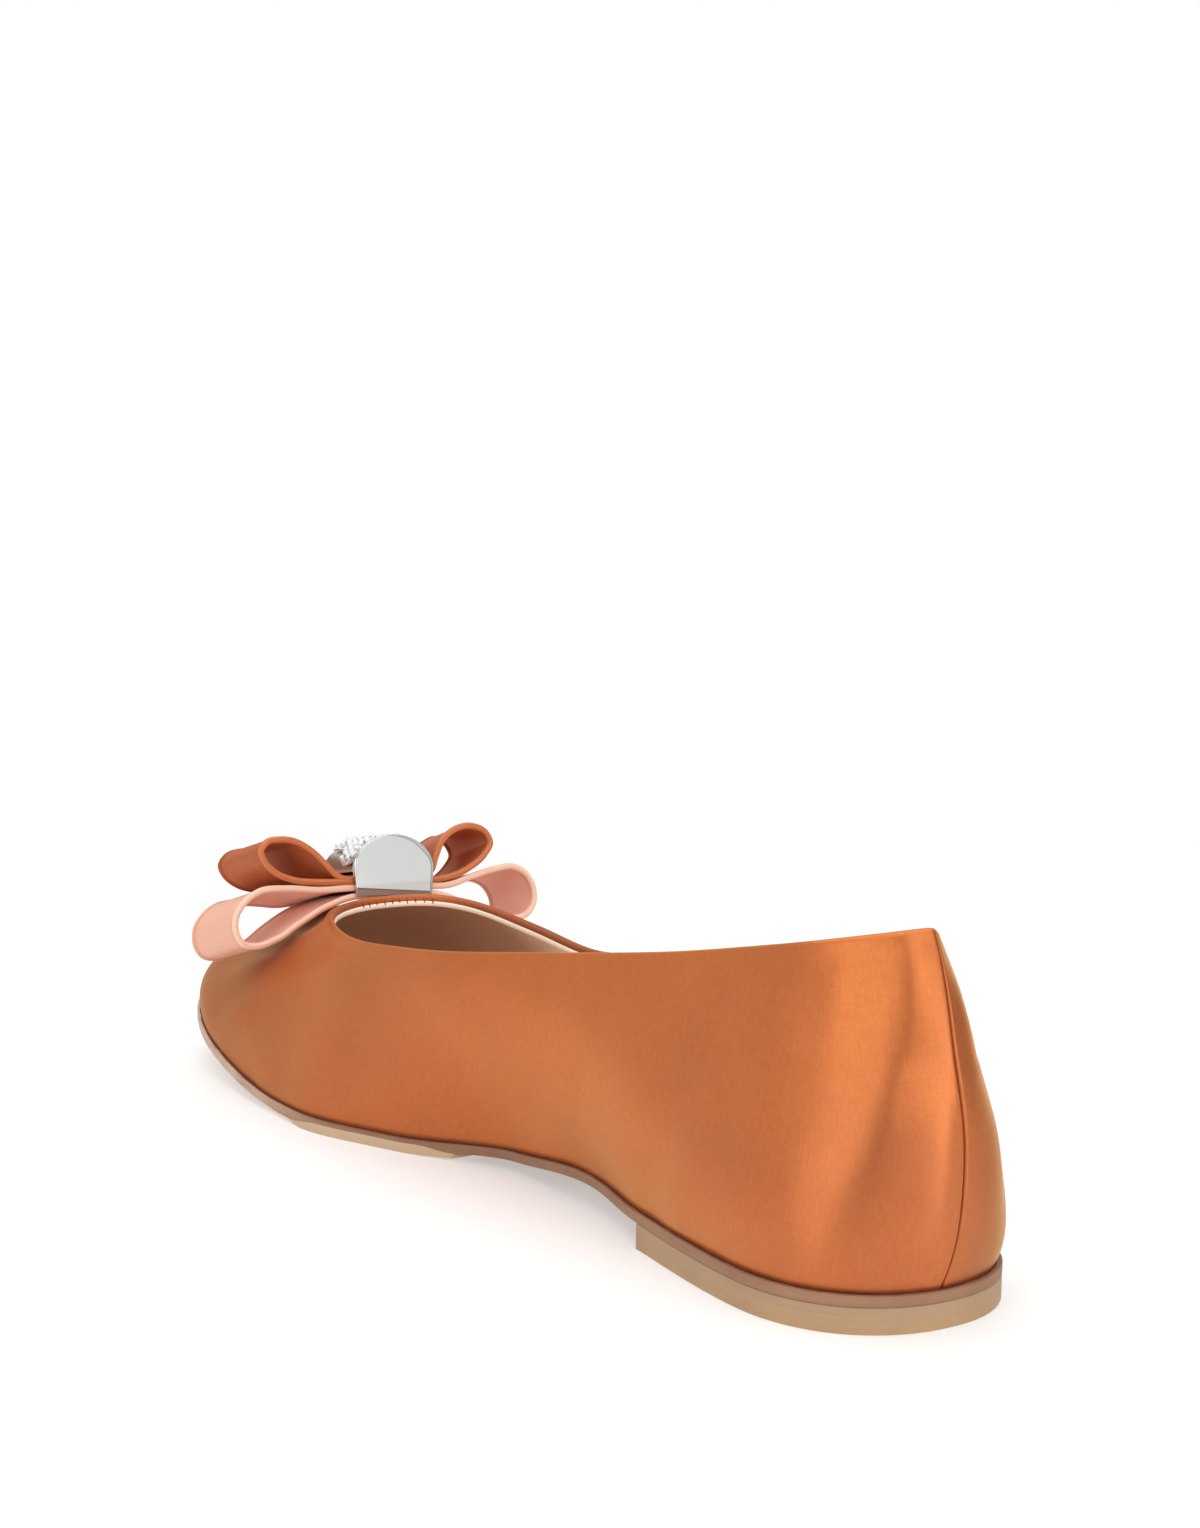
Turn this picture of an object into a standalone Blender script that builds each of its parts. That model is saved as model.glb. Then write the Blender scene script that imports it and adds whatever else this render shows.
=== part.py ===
"""Ballet flat, right shoe: satin upper on a thin sole, with a double ribbon bow and a metal clasp.

Lengths are in metres. X runs from the heel to the toe, Y to the wearer's left (the inner, arch side
of a right shoe) and Z up from the floor. Tables are in millimetres and are scaled by MM.
"""
import bpy
import bmesh
import numpy as np
from mathutils import Matrix

MM = 0.001

# Driving dimensions, mm
SOLE_LENGTH = 255.0          # outsole, heel to toe
HEEL_RADIUS = 28.0           # length of the round back of the heel
HEEL_HALF_WIDTH = 25.2
HEEL_ROUNDNESS = 2.19        # exponent of the round back
TOE_ROUNDNESS = 2.06         # exponent of the toe curve
TOE_SWING = 17.2             # how far the toe tip lies towards the inner side
INNER_TOE_START = 195.0      # where the toe curve starts on the inner side
OUTER_TOE_START = 172.0
SOLE_THICKNESS = 2.0
HEEL_BREAST = 63.0           # front face of the heel
PAD_THICKNESS = 0.8
PAD_START = 131.0            # back end of the rubber forefoot pad
PAD_ROUND = 178.0            # where its round front starts
PAD_END = 222.0
PAD_ROUNDNESS = 2.3
PAD_INSET = 0.5
HEEL_INSET = 0.2             # the heel stands in from the sole's edge
INSOLE_THICKNESS = 2.2
GAP = 0.3                    # left between pieces that touch
UPPER_WALL = 1.8
UPPER_INSET = 0.9            # the upper stands in from the sole's edge
COLLAR_BACK = 8.5            # back of the topline
COLLAR_ARC = 30.0            # where the round back of the topline ends
THROAT = 195.5               # front of the topline
THROAT_START = 128.0         # where the throat curve starts
THROAT_ROUNDNESS = 2.95
THROAT_SWING = 3.1           # the throat's centre follows the toe to the inner side
COLLAR_SWING = 2.0           # the topline's peak at the back stands to the outer side
SWING_NONE = 60.0            # where the topline's centre is on the shoe's axis
COLLAR_ROUNDNESS = 1.45       # the back of the topline is pinched at the seam
VAMP_FAN = 0.5               # how the sections of the wall fan out from the sole to the throat
VAMP_EARLY = 2.46
VAMP_LATE = 1.3
BOW_AT = (201.5, -0.8, 43.8)  # middle of the bow's back edge, on the vamp
BOW_TILT = 11.0              # degrees that the bow slopes down towards the toe
BOW_ROLL = 3.5               # degrees that it leans to the outer side
RIBBON = 1.2                 # ribbon thickness
RIBBON_FLARE = 0.01          # the loops spread towards the toe
RIBBON_SWAY = 1.9            # their front edges lie this far to the inner side
RIBBON_DROOP = 2.4           # and this far down
RIBBON_SETTLE = 32.0         # beyond this distance from the clasp
CLASP_HALF_WIDTH = 10.4
CLASP_SHOULDER = 5.6         # height where the clasp's arch starts
CLASP_TOP = 13.2
CLASP_FOOT = -0.95
CLASP_FOOT_HALF_WIDTH = 9.7
CLASP_WALL = 1.2
CLASP_DEPTH = 16.2           # room inside for the gathered ribbons
CLASP_STEP = 1.3             # the hood stands in from the back plate
CLASP_SIDE_OPENING = 6.0     # height of the side openings that the ribbons leave by
CAP_THICKNESS = 1.1          # textured cap on the hood
CAP_HALF_ANGLE = 58.0
CAP_MARGIN = 0.6
CAP_ROWS = 6

# The bbox centre of the whole shoe, so that the part stands on the middle of its base
CENTRE_X = 126.491
CENTRE_Y = 1.127

# Sole edge: distance along the shoe, half width on the inner and the outer side
EDGE = {
    "along": (28, 63, 88, 115, 145, 172, 195),
    "inner": (25.2, 22.0, 17.6, 17.2, 29.5, 38.2, 38.2),
    "outer": (25.2, 24.6, 25.0, 27.6, 34.0, 37.8, 37.8),
}
# Underside of the outsole above the floor: heel seat, arch, flat tread and toe spring
SPRING = {
    "along": (0, 63, 88, 115, 146, 182, 220, 262),
    "height": (4.8, 5.0, 5.6, 3.1, 1.1, 1.1, 5.8, 12.2),
}
# Topline: half width on either side
COLLAR = {
    "along": (30, 60, 90, 128),
    "inner": (15.5, 18.5, 22.0, 29.0),
    "outer": (11.5, 18.0, 21.5, 21.0),
}
# Topline: height, and how much lower it runs on the outer side
COLLAR_HEIGHT = {
    "along": (8.5, 30, 60, 100, 140, 165, 195.5),
    "height": (67.4, 62.7, 56.5, 50.0, 44.7, 42.5, 43.8),
    "outer_drop": (0, 3.0, 4.4, 4.7, 5.8, 2.0, 0),
}
# Section of the wall by place along the sole. It leaves the sole swelling out and rising, and it
# reaches the topline leaning in, from a point that is out by the lean and down by the drop.
WALL = {
    "along": (0, 10, 30, 63, 90, 120, 150, 175, 205, 235, 248, 255),
    "inner_swell": (5.5, 6.1, 7.0, 7.4, 7.9, 7.5, 5.6, 4.4, 4.1, 4.4, 4.0, 3.6),
    "outer_swell": (5.5, 5.2, 5.3, 5.8, 5.9, 5.4, 4.6, 4.0, 3.5, 3.3, 3.4, 3.6),
    "rise": (9.5, 11, 14.5, 17.5, 17, 15.5, 14, 14, 14, 13.5, 13, 13),
    "inner_lean": (11, 6, 6, 7.4, 7, 6.4, 6, 5.5, 5.5, 8, 15, 24.5),
    "outer_lean": (11, 6, 6, 7.4, 7, 6.4, 7, 9.2, 14, 21, 24, 24.5),
    "inner_drop": (23, 22, 20.5, 18, 15, 12, 10, 9.5, 10.5, 11.5, 8, 5.5),
    "outer_drop": (23, 22, 20.5, 18, 15, 12, 9, 7.3, 6.1, 5.6, 5.5, 5.5),
}
# Ribbon loops seen from the heel: out from the clasp and up from the vamp, from the upper strand
# round to the lower one
ORANGE_LEFT = {
    "out": (11.0, 13.5, 17, 20.3, 23.5, 27.7, 31.2, 32.6, 31.8, 29.2, 25, 18.5, 11.0),
    "up": (4.2, 4.8, 7.4, 10.1, 11.8, 12.5, 11.8, 9.8, 7.6, 5.0, 3.3, 2.6, 2.6),
}
ORANGE_RIGHT = {
    "out": (10.6, 11.9, 14.2, 17.4, 21.8, 25.6, 26.9, 25.2, 20.5, 14.2, 10.5),
    "up": (4.8, 7.8, 12.2, 14.5, 15.2, 13.7, 11.2, 8.4, 5.1, 3.0, 2.6),
}
PINK_LEFT = {
    "out": (11.0, 18, 26.5, 33, 37, 39.2, 39.2, 37.7, 34.2, 29.2, 23.3, 18.0, 12.5, 10.0),
    "up": (1.1, 0.9, 1.4, 0.9, -1.6, -5.0, -8.3, -10.7, -11.4, -9.7, -5.7, -2.6, -0.8, -0.5),
}
PINK_RIGHT = {
    "out": (10.0, 15, 21.5, 27.5, 33, 36.4, 38.3, 38.2, 36.2, 32.5, 26, 19, 12.5, 10.0),
    "up": (1.1, 1.3, 3.2, 4.8, 5.4, 3.6, 0.2, -3.4, -6.0, -6.9, -5.4, -3.0, -0.8, -0.5),
}
ORANGE_STRANDS = (4.1, 2.6)   # heights of the upper and the lower strand under the clasp
PINK_STRANDS = (1.1, -0.4)
STRAND_HALF = 8.0             # the strands lie flat this far out
# Ribbon width by distance out from the clasp: gathered in the middle
RIBBON_SPREAD = {"out": (0, 11, 24, 41), "width": (15.4, 15.8, 18.6, 19.4)}

HEEL_STATIONS = 9
MID_STATIONS = 11
TOE_STATIONS = 20
PAD_STATIONS = 12
WALL_ROWS = 13
RIBBON_POINTS_PER_ROW = 3
CLASP_ARCH_POINTS = 18

COLOURS = {
    "outsole": ((0.56, 0.36, 0.25), 0.55, 0.0),
    "heel": ((0.47, 0.36, 0.24), 0.50, 0.0),
    "forefoot_pad": ((0.72, 0.60, 0.45), 0.60, 0.0),
    "insole": ((0.66, 0.47, 0.38), 0.65, 0.0),
    "upper": ((0.55, 0.16, 0.04), 0.38, 0.0),
    "bow_upper_ribbon": ((0.50, 0.15, 0.05), 0.45, 0.0),
    "bow_lower_ribbon": ((0.84, 0.42, 0.30), 0.45, 0.0),
    "bow_clasp": ((0.80, 0.80, 0.80), 0.12, 1.0),
    "clasp_cap": ((0.85, 0.85, 0.85), 0.18, 1.0),
}


def smooth(table_x, table_y, x):
    """Cubic through the rows of a table, level at its ends and without overshoot."""
    table_x = np.asarray(table_x, float)
    table_y = np.asarray(table_y, float)
    x = np.clip(np.asarray(x, float), table_x[0], table_x[-1])
    step = np.diff(table_x)
    slope = np.diff(table_y) / step
    tangent = np.zeros(len(table_x))
    for i in range(1, len(table_x) - 1):
        if slope[i - 1] * slope[i] > 0:
            w1 = 2 * step[i] + step[i - 1]
            w2 = step[i] + 2 * step[i - 1]
            tangent[i] = (w1 + w2) / (w1 / slope[i - 1] + w2 / slope[i])
    i = np.clip(np.searchsorted(table_x, x, side="right") - 1, 0, len(step) - 1)
    t = (x - table_x[i]) / step[i]
    return ((1 + 2 * t) * (1 - t) ** 2 * table_y[i] + t * (1 - t) ** 2 * step[i] * tangent[i]
            + t * t * (3 - 2 * t) * table_y[i + 1] + t * t * (t - 1) * step[i] * tangent[i + 1])


def arc(u, roundness):
    """Quarter of a rounded oval: 1 at u = 0, falling to 0 at u = 1."""
    return np.maximum(0.0, 1 - np.clip(u, 0, 1) ** roundness) ** (1 / roundness)


def edge_y(x, side):
    """Sole edge at distance x along the shoe, on the "inner" or the "outer" side."""
    sign = 1 if side == "inner" else -1
    toe_start = INNER_TOE_START if side == "inner" else OUTER_TOE_START
    body = sign * smooth(EDGE["along"], EDGE[side], x)
    back = sign * HEEL_HALF_WIDTH * arc((HEEL_RADIUS - x) / HEEL_RADIUS, HEEL_ROUNDNESS)
    widest = sign * EDGE[side][-1]
    toe_u = (x - toe_start) / (SOLE_LENGTH - toe_start)
    toe = TOE_SWING + (widest - TOE_SWING) * arc(toe_u, TOE_ROUNDNESS)
    return np.where(x < HEEL_RADIUS, back, np.where(x > toe_start, toe, body))


def collar_y(x, side):
    """Topline at distance x along the shoe."""
    sign = 1 if side == "inner" else -1
    body = smooth(COLLAR["along"], COLLAR[side], x)
    back = COLLAR[side][0] * arc((COLLAR_ARC - x) / (COLLAR_ARC - COLLAR_BACK), COLLAR_ROUNDNESS)
    front_u = (x - THROAT_START) / (THROAT - THROAT_START)
    front = COLLAR[side][-1] * arc(front_u, THROAT_ROUNDNESS)
    half = np.where(x < COLLAR_ARC, back, np.where(x > THROAT_START, front, body))
    swing = THROAT_SWING * np.clip((x - SWING_NONE) / (THROAT - SWING_NONE), 0, 1) ** 1.5
    swing = swing - COLLAR_SWING * np.clip((SWING_NONE - x) / (SWING_NONE - COLLAR_BACK), 0, 1) ** 2
    return sign * half + swing


def sole_z(x):
    return smooth(SPRING["along"], SPRING["height"], x)


def stations():
    """Places along the sole and the topline that one section of the wall joins, heel to toe."""
    heel = np.linspace(0, np.pi / 2, HEEL_STATIONS + 1)
    toe = np.sin(np.linspace(0, np.pi / 2, TOE_STATIONS + 1))
    vamp = 1 - VAMP_FAN * (1 - toe) ** VAMP_LATE - (1 - VAMP_FAN) * (1 - toe) ** VAMP_EARLY
    mid = np.linspace(COLLAR_ARC, THROAT_START, MID_STATIONS + 1)[1:-1]
    sole = np.concatenate([COLLAR_ARC * (1 - np.cos(heel)), mid,
                           THROAT_START + (SOLE_LENGTH - THROAT_START) * toe])
    top = np.concatenate([COLLAR_BACK + (COLLAR_ARC - COLLAR_BACK) * (1 - np.cos(heel)), mid,
                          THROAT_START + (THROAT - THROAT_START) * vamp])
    return sole, top


def ring(x, y_of):
    """Closed ring of plan points: up the inner side from the heel to the toe, back on the outer."""
    inner = np.stack([x, y_of(x, "inner")], 1)
    outer = np.stack([x, y_of(x, "outer")], 1)
    return np.concatenate([inner, outer[-2:0:-1]])


def outward(points):
    """Unit normals of a closed plan ring, pointing out of it."""
    along = np.roll(points, -1, 0) - np.roll(points, 1, 0)
    normal = np.stack([-along[:, 1], along[:, 0]], 1)
    return normal / np.linalg.norm(normal, axis=1)[:, None]


def both_sides(per_station, outer=None):
    """Spread a value for each station round the ring."""
    other = per_station if outer is None else outer
    return np.concatenate([per_station, other[-2:0:-1]])


def wall_surface():
    """Outer face of the upper: rows of points from the sole's edge up to the topline."""
    sole_x, top_x = stations()
    foot_plan = ring(sole_x, edge_y)
    foot_out = outward(foot_plan)
    foot_plan = foot_plan - foot_out * UPPER_INSET
    foot_z = both_sides(sole_z(sole_x)) + SOLE_THICKNESS + GAP
    top_plan = ring(top_x, collar_y)
    top_out = outward(top_plan)
    height = smooth(COLLAR_HEIGHT["along"], COLLAR_HEIGHT["height"], top_x)
    drop = smooth(COLLAR_HEIGHT["along"], COLLAR_HEIGHT["outer_drop"], top_x)
    top_z = both_sides(height, height - drop)

    def column(name, other=None):
        own = smooth(WALL["along"], WALL[name], sole_x)
        return both_sides(own, smooth(WALL["along"], WALL[other], sole_x) if other else None)

    zero = np.zeros((len(foot_z), 1))
    foot = np.c_[foot_plan, foot_z]
    top = np.c_[top_plan, top_z]
    low = foot + np.c_[foot_out, zero] * column("inner_swell", "outer_swell")[:, None]
    low[:, 2] += column("rise")
    high = top + np.c_[top_out, zero] * column("inner_lean", "outer_lean")[:, None]
    high[:, 2] -= column("inner_drop", "outer_drop")
    rows = []
    for v in np.linspace(0, 1, WALL_ROWS):
        rows.append((1 - v) ** 3 * foot + 3 * v * (1 - v) ** 2 * low
                    + 3 * v * v * (1 - v) * high + v ** 3 * top)
    return np.array(rows)


def place(points):
    """Millimetres along the shoe to the part's own frame in metres."""
    return (np.asarray(points, float) - np.array([CENTRE_X, CENTRE_Y, 0.0])) * MM


def material(name):
    colour, roughness, metallic = COLOURS[name]
    made = bpy.data.materials.new(name)
    made.use_nodes = True
    shader = made.node_tree.nodes["Principled BSDF"]
    shader.inputs["Base Color"].default_value = (*colour, 1.0)
    shader.inputs["Roughness"].default_value = roughness
    shader.inputs["Metallic"].default_value = metallic
    return made


def add_object(name, mesh, collection, smooth_angle=None):
    obj = bpy.data.objects.new(name, mesh)
    collection.objects.link(obj)
    mesh.materials.append(material(name))
    if smooth_angle is not None:
        mesh.shade_smooth()
        mesh.set_sharp_from_angle(angle=np.radians(smooth_angle))
    return obj


def mesh_from(name, vertices, faces):
    mesh = bpy.data.meshes.new(name)
    mesh.from_pydata([tuple(v) for v in vertices], [], faces)
    edit = bmesh.new()
    edit.from_mesh(mesh)
    bmesh.ops.recalc_face_normals(edit, faces=edit.faces)
    edit.to_mesh(mesh)
    edit.free()
    return mesh


def make_upper(collection):
    rows = wall_surface()
    count = rows.shape[1]
    faces = []
    for r in range(len(rows) - 1):
        for k in range(count):
            n = (k + 1) % count
            faces.append((r * count + k, (r + 1) * count + k, (r + 1) * count + n, r * count + n))
    mesh = bpy.data.meshes.new("upper")
    mesh.from_pydata([tuple(p) for p in place(rows.reshape(-1, 3))], [], faces)
    obj = add_object("upper", mesh, collection, 50)
    shell = obj.modifiers.new("wall", "SOLIDIFY")
    shell.thickness = UPPER_WALL * MM
    shell.offset = -1
    shell.use_even_offset = True
    return obj


def outline_in(inset):
    """Inner and outer side of the sole's outline, heel to toe, set in all round."""
    points = ring(stations()[0], edge_y)
    points = points - outward(points) * inset
    half = len(points) // 2 + 1
    return points[:half], np.roll(points[::-1], 1, 0)[:half]


def cut(sides, x):
    """Both sides of an outline read off at the given distances along the shoe."""
    return tuple(np.stack([x, np.interp(x, side[:, 0], side[:, 1])], 1) for side in sides)


def make_layer(name, collection, sides, low, high):
    """A layer of the bottom between the two sides of its outline and two heights along X."""
    inner, outer = sides
    vertices = []
    index = {}
    for level, height in (("low", low), ("high", high)):
        for side, points in (("inner", inner), ("outer", outer)):
            for k, (px, py) in enumerate(points):
                if side == "outer" and np.allclose(points[k], inner[k], atol=1e-6):
                    index[level, side, k] = index[level, "inner", k]
                    continue
                index[level, side, k] = len(vertices)
                vertices.append((px, py, float(height(px))))
    faces = []
    last = len(inner) - 1

    def face(*corners):
        unique = list(dict.fromkeys(index[c] for c in corners))
        if len(unique) > 2:
            faces.append(tuple(unique))

    for k in range(last):
        for level in ("low", "high"):
            face((level, "inner", k), (level, "inner", k + 1), (level, "outer", k + 1), (level, "outer", k))
        for side in ("inner", "outer"):
            face(("low", side, k), ("low", side, k + 1), ("high", side, k + 1), ("high", side, k))
    for k in (0, last):
        face(("low", "inner", k), ("low", "outer", k), ("high", "outer", k), ("high", "inner", k))
    return add_object(name, mesh_from(name, place(vertices), faces), collection, 40)


def pad_outline():
    """The pad follows the sole's edge under the ball of the foot and ends in a round front."""
    turn = np.sin(np.linspace(0, np.pi / 2, PAD_STATIONS))
    straight = np.linspace(PAD_START, PAD_ROUND, PAD_STATIONS)[:-1]
    x = np.append(straight, PAD_ROUND + (PAD_END - PAD_ROUND) * turn)
    inner, outer = cut(outline_in(PAD_INSET), x)
    middle = (inner + outer) / 2
    narrow = arc((x - PAD_ROUND) / (PAD_END - PAD_ROUND), PAD_ROUNDNESS)[:, None]
    return middle + (inner - middle) * narrow, middle + (outer - middle) * narrow


def make_bottom(collection):
    make_layer("outsole", collection, outline_in(0.0), sole_z, lambda x: sole_z(x) + SOLE_THICKNESS)
    insole_low = SOLE_THICKNESS + GAP
    make_layer("insole", collection, outline_in(UPPER_INSET + UPPER_WALL + GAP),
               lambda x: sole_z(x) + insole_low,
               lambda x: sole_z(x) + insole_low + INSOLE_THICKNESS)
    heel = outline_in(HEEL_INSET)
    heel_x = heel[0][:, 0]
    heel_x = np.append(heel_x[heel_x < HEEL_BREAST - 2], HEEL_BREAST)
    make_layer("heel", collection, cut(heel, heel_x), lambda x: 0 * x, lambda x: sole_z(x) - GAP)
    make_layer("forefoot_pad", collection, pad_outline(),
               lambda x: sole_z(x) - GAP - PAD_THICKNESS, lambda x: sole_z(x) - GAP)


def bow_matrix():
    """Frame of the bow: local X towards the toe, Y to the inner side, Z up from the vamp."""
    turn = Matrix.Rotation(np.radians(BOW_TILT), 4, "Y") @ Matrix.Rotation(np.radians(BOW_ROLL), 4, "X")
    return Matrix.Translation(place(BOW_AT)) @ turn


def curve_through(points, per_row):
    """Closed smooth curve through points, with per_row samples for each of them."""
    points = np.asarray(points, float)
    chord = np.linalg.norm(np.roll(points, -1, 0) - points, axis=1)
    before = np.roll(chord, 1)
    arrive = (points - np.roll(points, 1, 0)) / before[:, None]
    leave = (np.roll(points, -1, 0) - points) / chord[:, None]
    tangent = (arrive * chord[:, None] + leave * before[:, None]) / (chord + before)[:, None]
    samples = []
    for t in np.arange(per_row) / per_row:
        a, b = (1 + 2 * t) * (1 - t) ** 2, t * (1 - t) ** 2
        c, d = t * t * (3 - 2 * t), t * t * (t - 1)
        samples.append(a * points + b * chord[:, None] * tangent
                       + c * np.roll(points, -1, 0) + d * chord[:, None] * np.roll(tangent, -1, 0))
    return np.stack(samples, 1).reshape(-1, 2)


def make_ribbon(name, collection, left, right, strands):
    """One ribbon bent into two loops and pinched in the middle, open at its front and back."""
    across_clasp = STRAND_HALF * np.array([-1.0, -0.5, 0.5, 1.0])
    path = [(out, strands[0]) for out in across_clasp]
    path += list(zip(left["out"], left["up"]))
    path += [(out, strands[1]) for out in across_clasp[::-1]]
    path += [(-out, up) for out, up in zip(right["out"][::-1], right["up"][::-1])]
    centre = curve_through(path, RIBBON_POINTS_PER_ROW)
    reach = np.abs(centre[:, 0])
    width = smooth(RIBBON_SPREAD["out"], RIBBON_SPREAD["width"], reach)
    settled = np.minimum(reach / RIBBON_SETTLE, 1) ** 1.5
    vertices = []
    for across in (0.0, 0.5, 1.0):
        side = centre[:, 0] * (1 + RIBBON_FLARE * across) + RIBBON_SWAY * across * settled
        up = centre[:, 1] - RIBBON_DROOP * across * settled
        vertices += list(np.stack([across * width, side, up], 1) * MM)
    count = len(centre)
    faces = []
    for strip in range(2):
        for k in range(count):
            n = (k + 1) % count
            faces.append((strip * count + k, strip * count + n,
                          (strip + 1) * count + n, (strip + 1) * count + k))
    mesh = bpy.data.meshes.new(name)
    mesh.from_pydata([tuple(v) for v in vertices], [], faces)
    obj = add_object(name, mesh, collection, 50)
    obj.matrix_world = bow_matrix()
    cloth = obj.modifiers.new("cloth", "SOLIDIFY")
    cloth.thickness = RIBBON * MM
    cloth.offset = 0
    cloth.use_even_offset = True
    return obj


def clasp_arch(angle, grow):
    """Point of the clasp's arch, seen from the heel; the angle is from the top to the left."""
    return ((CLASP_HALF_WIDTH + grow) * np.sin(angle),
            CLASP_SHOULDER + (CLASP_TOP - CLASP_SHOULDER + grow) * np.cos(angle))


def clasp_outline(grow, foot):
    arch = [clasp_arch(a, grow) for a in np.linspace(np.pi / 2, -np.pi / 2, CLASP_ARCH_POINTS + 1)]
    return [(CLASP_FOOT_HALF_WIDTH + grow, foot)] + arch + [(-CLASP_FOOT_HALF_WIDTH - grow, foot)]


def prism(name, outline, back, front, collection):
    """An outline in the bow's Y and Z, extruded along its X, as a closed mesh."""
    curve = bpy.data.curves.new(name, "CURVE")
    curve.dimensions = "2D"
    curve.fill_mode = "BOTH"
    curve.extrude = (front - back) / 2 * MM
    spline = curve.splines.new("POLY")
    spline.points.add(len(outline) - 1)
    for point, (side, up) in zip(spline.points, outline):
        point.co = (side * MM, up * MM, 0, 1)
    spline.use_cyclic_u = True
    drawn = bpy.data.objects.new(name + "_drawn", curve)
    collection.objects.link(drawn)
    bpy.context.view_layer.update()
    evaluated = drawn.evaluated_get(bpy.context.evaluated_depsgraph_get())
    mesh = bpy.data.meshes.new_from_object(evaluated)
    bpy.data.objects.remove(drawn)
    stand_up = Matrix(((0, 0, 1, (front + back) / 2 * MM), (1, 0, 0, 0), (0, 1, 0, 0), (0, 0, 0, 1)))
    mesh.transform(stand_up)
    edit = bmesh.new()
    edit.from_mesh(mesh)
    bmesh.ops.remove_doubles(edit, verts=edit.verts, dist=1e-6)
    bmesh.ops.recalc_face_normals(edit, faces=edit.faces)
    edit.to_mesh(mesh)
    edit.free()
    mesh.name = name
    return mesh


def boolean(target, operation, tool, cutters):
    cutter = bpy.data.objects.new(tool.name, tool)
    cutters.objects.link(cutter)
    cutter.matrix_world = target.matrix_world
    cutter.hide_render = True
    cutter.display_type = "WIRE"
    step = target.modifiers.new(tool.name, "BOOLEAN")
    step.operation = operation
    step.solver = "EXACT"
    step.object = cutter


def make_clasp(collection, cutters):
    """Back plate, arched hood and front plate in one, with openings for the ribbons at the sides."""
    back = -CLASP_WALL - GAP
    front = CLASP_DEPTH + GAP
    hood_in = -CLASP_STEP
    plate = prism("bow_clasp", clasp_outline(0.0, CLASP_FOOT), back, back + CLASP_WALL, collection)
    obj = add_object("bow_clasp", plate, collection, 35)
    obj.matrix_world = bow_matrix()
    hood = prism("clasp_hood", clasp_outline(hood_in, CLASP_FOOT), back + CLASP_WALL / 2,
                 front + CLASP_WALL, cutters)
    boolean(obj, "UNION", hood, cutters)
    room = prism("clasp_room", clasp_outline(hood_in - CLASP_WALL, CLASP_FOOT - CLASP_WALL),
                 back + CLASP_WALL, front, cutters)
    boolean(obj, "DIFFERENCE", room, cutters)
    wide = 2 * CLASP_HALF_WIDTH
    low = CLASP_FOOT - CLASP_WALL
    sides = prism("clasp_sides", [(wide, low), (wide, CLASP_SIDE_OPENING), (-wide, CLASP_SIDE_OPENING),
                                  (-wide, low)], back + CLASP_WALL, front, cutters)
    boolean(obj, "DIFFERENCE", sides, cutters)
    return obj


def make_cap(collection):
    """Curved cap that lies on the hood's arch behind the back plate."""
    grow = GAP - CLASP_STEP
    depth = np.linspace(CAP_MARGIN, CLASP_DEPTH - CAP_MARGIN / 2, CAP_ROWS)
    angles = np.radians(np.linspace(CAP_HALF_ANGLE, -CAP_HALF_ANGLE, CLASP_ARCH_POINTS + 1))
    vertices = []
    for at in depth:
        vertices += [(at * MM, *(MM * np.array(clasp_arch(a, grow)))) for a in angles]
    count = len(angles)
    faces = []
    for r in range(CAP_ROWS - 1):
        for k in range(count - 1):
            faces.append((r * count + k, r * count + k + 1, (r + 1) * count + k + 1, (r + 1) * count + k))
    mesh = bpy.data.meshes.new("clasp_cap")
    mesh.from_pydata(vertices, [], faces)
    obj = add_object("clasp_cap", mesh, collection, 35)
    obj.matrix_world = bow_matrix()
    metal = obj.modifiers.new("metal", "SOLIDIFY")
    metal.thickness = CAP_THICKNESS * MM
    metal.offset = 1
    metal.use_even_offset = True
    return obj


def main():
    for obj in list(bpy.data.objects):
        bpy.data.objects.remove(obj)
    parts = bpy.data.collections.new("ballet_flat")
    cutters = bpy.data.collections.new("cutters")
    for collection in (parts, cutters):
        bpy.context.scene.collection.children.link(collection)
    make_upper(parts)
    make_bottom(parts)
    make_ribbon("bow_upper_ribbon", parts, ORANGE_LEFT, ORANGE_RIGHT, ORANGE_STRANDS)
    make_ribbon("bow_lower_ribbon", parts, PINK_LEFT, PINK_RIGHT, PINK_STRANDS)
    make_clasp(parts, cutters)
    make_cap(parts)


main()
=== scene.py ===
"""Looks of a satin ballet flat: right shoe, double ribbon bow, metal clasp with a studded cap.

Shapes are worked out in the shoe's own millimetres: X from the back of the sole to the toe, Y from the
shoe's axis to the inner side, Z up from the floor. place() turns them into the frame's metres.
"""

import bpy
import bmesh
import numpy as np
from mathutils import Matrix, Vector


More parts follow.
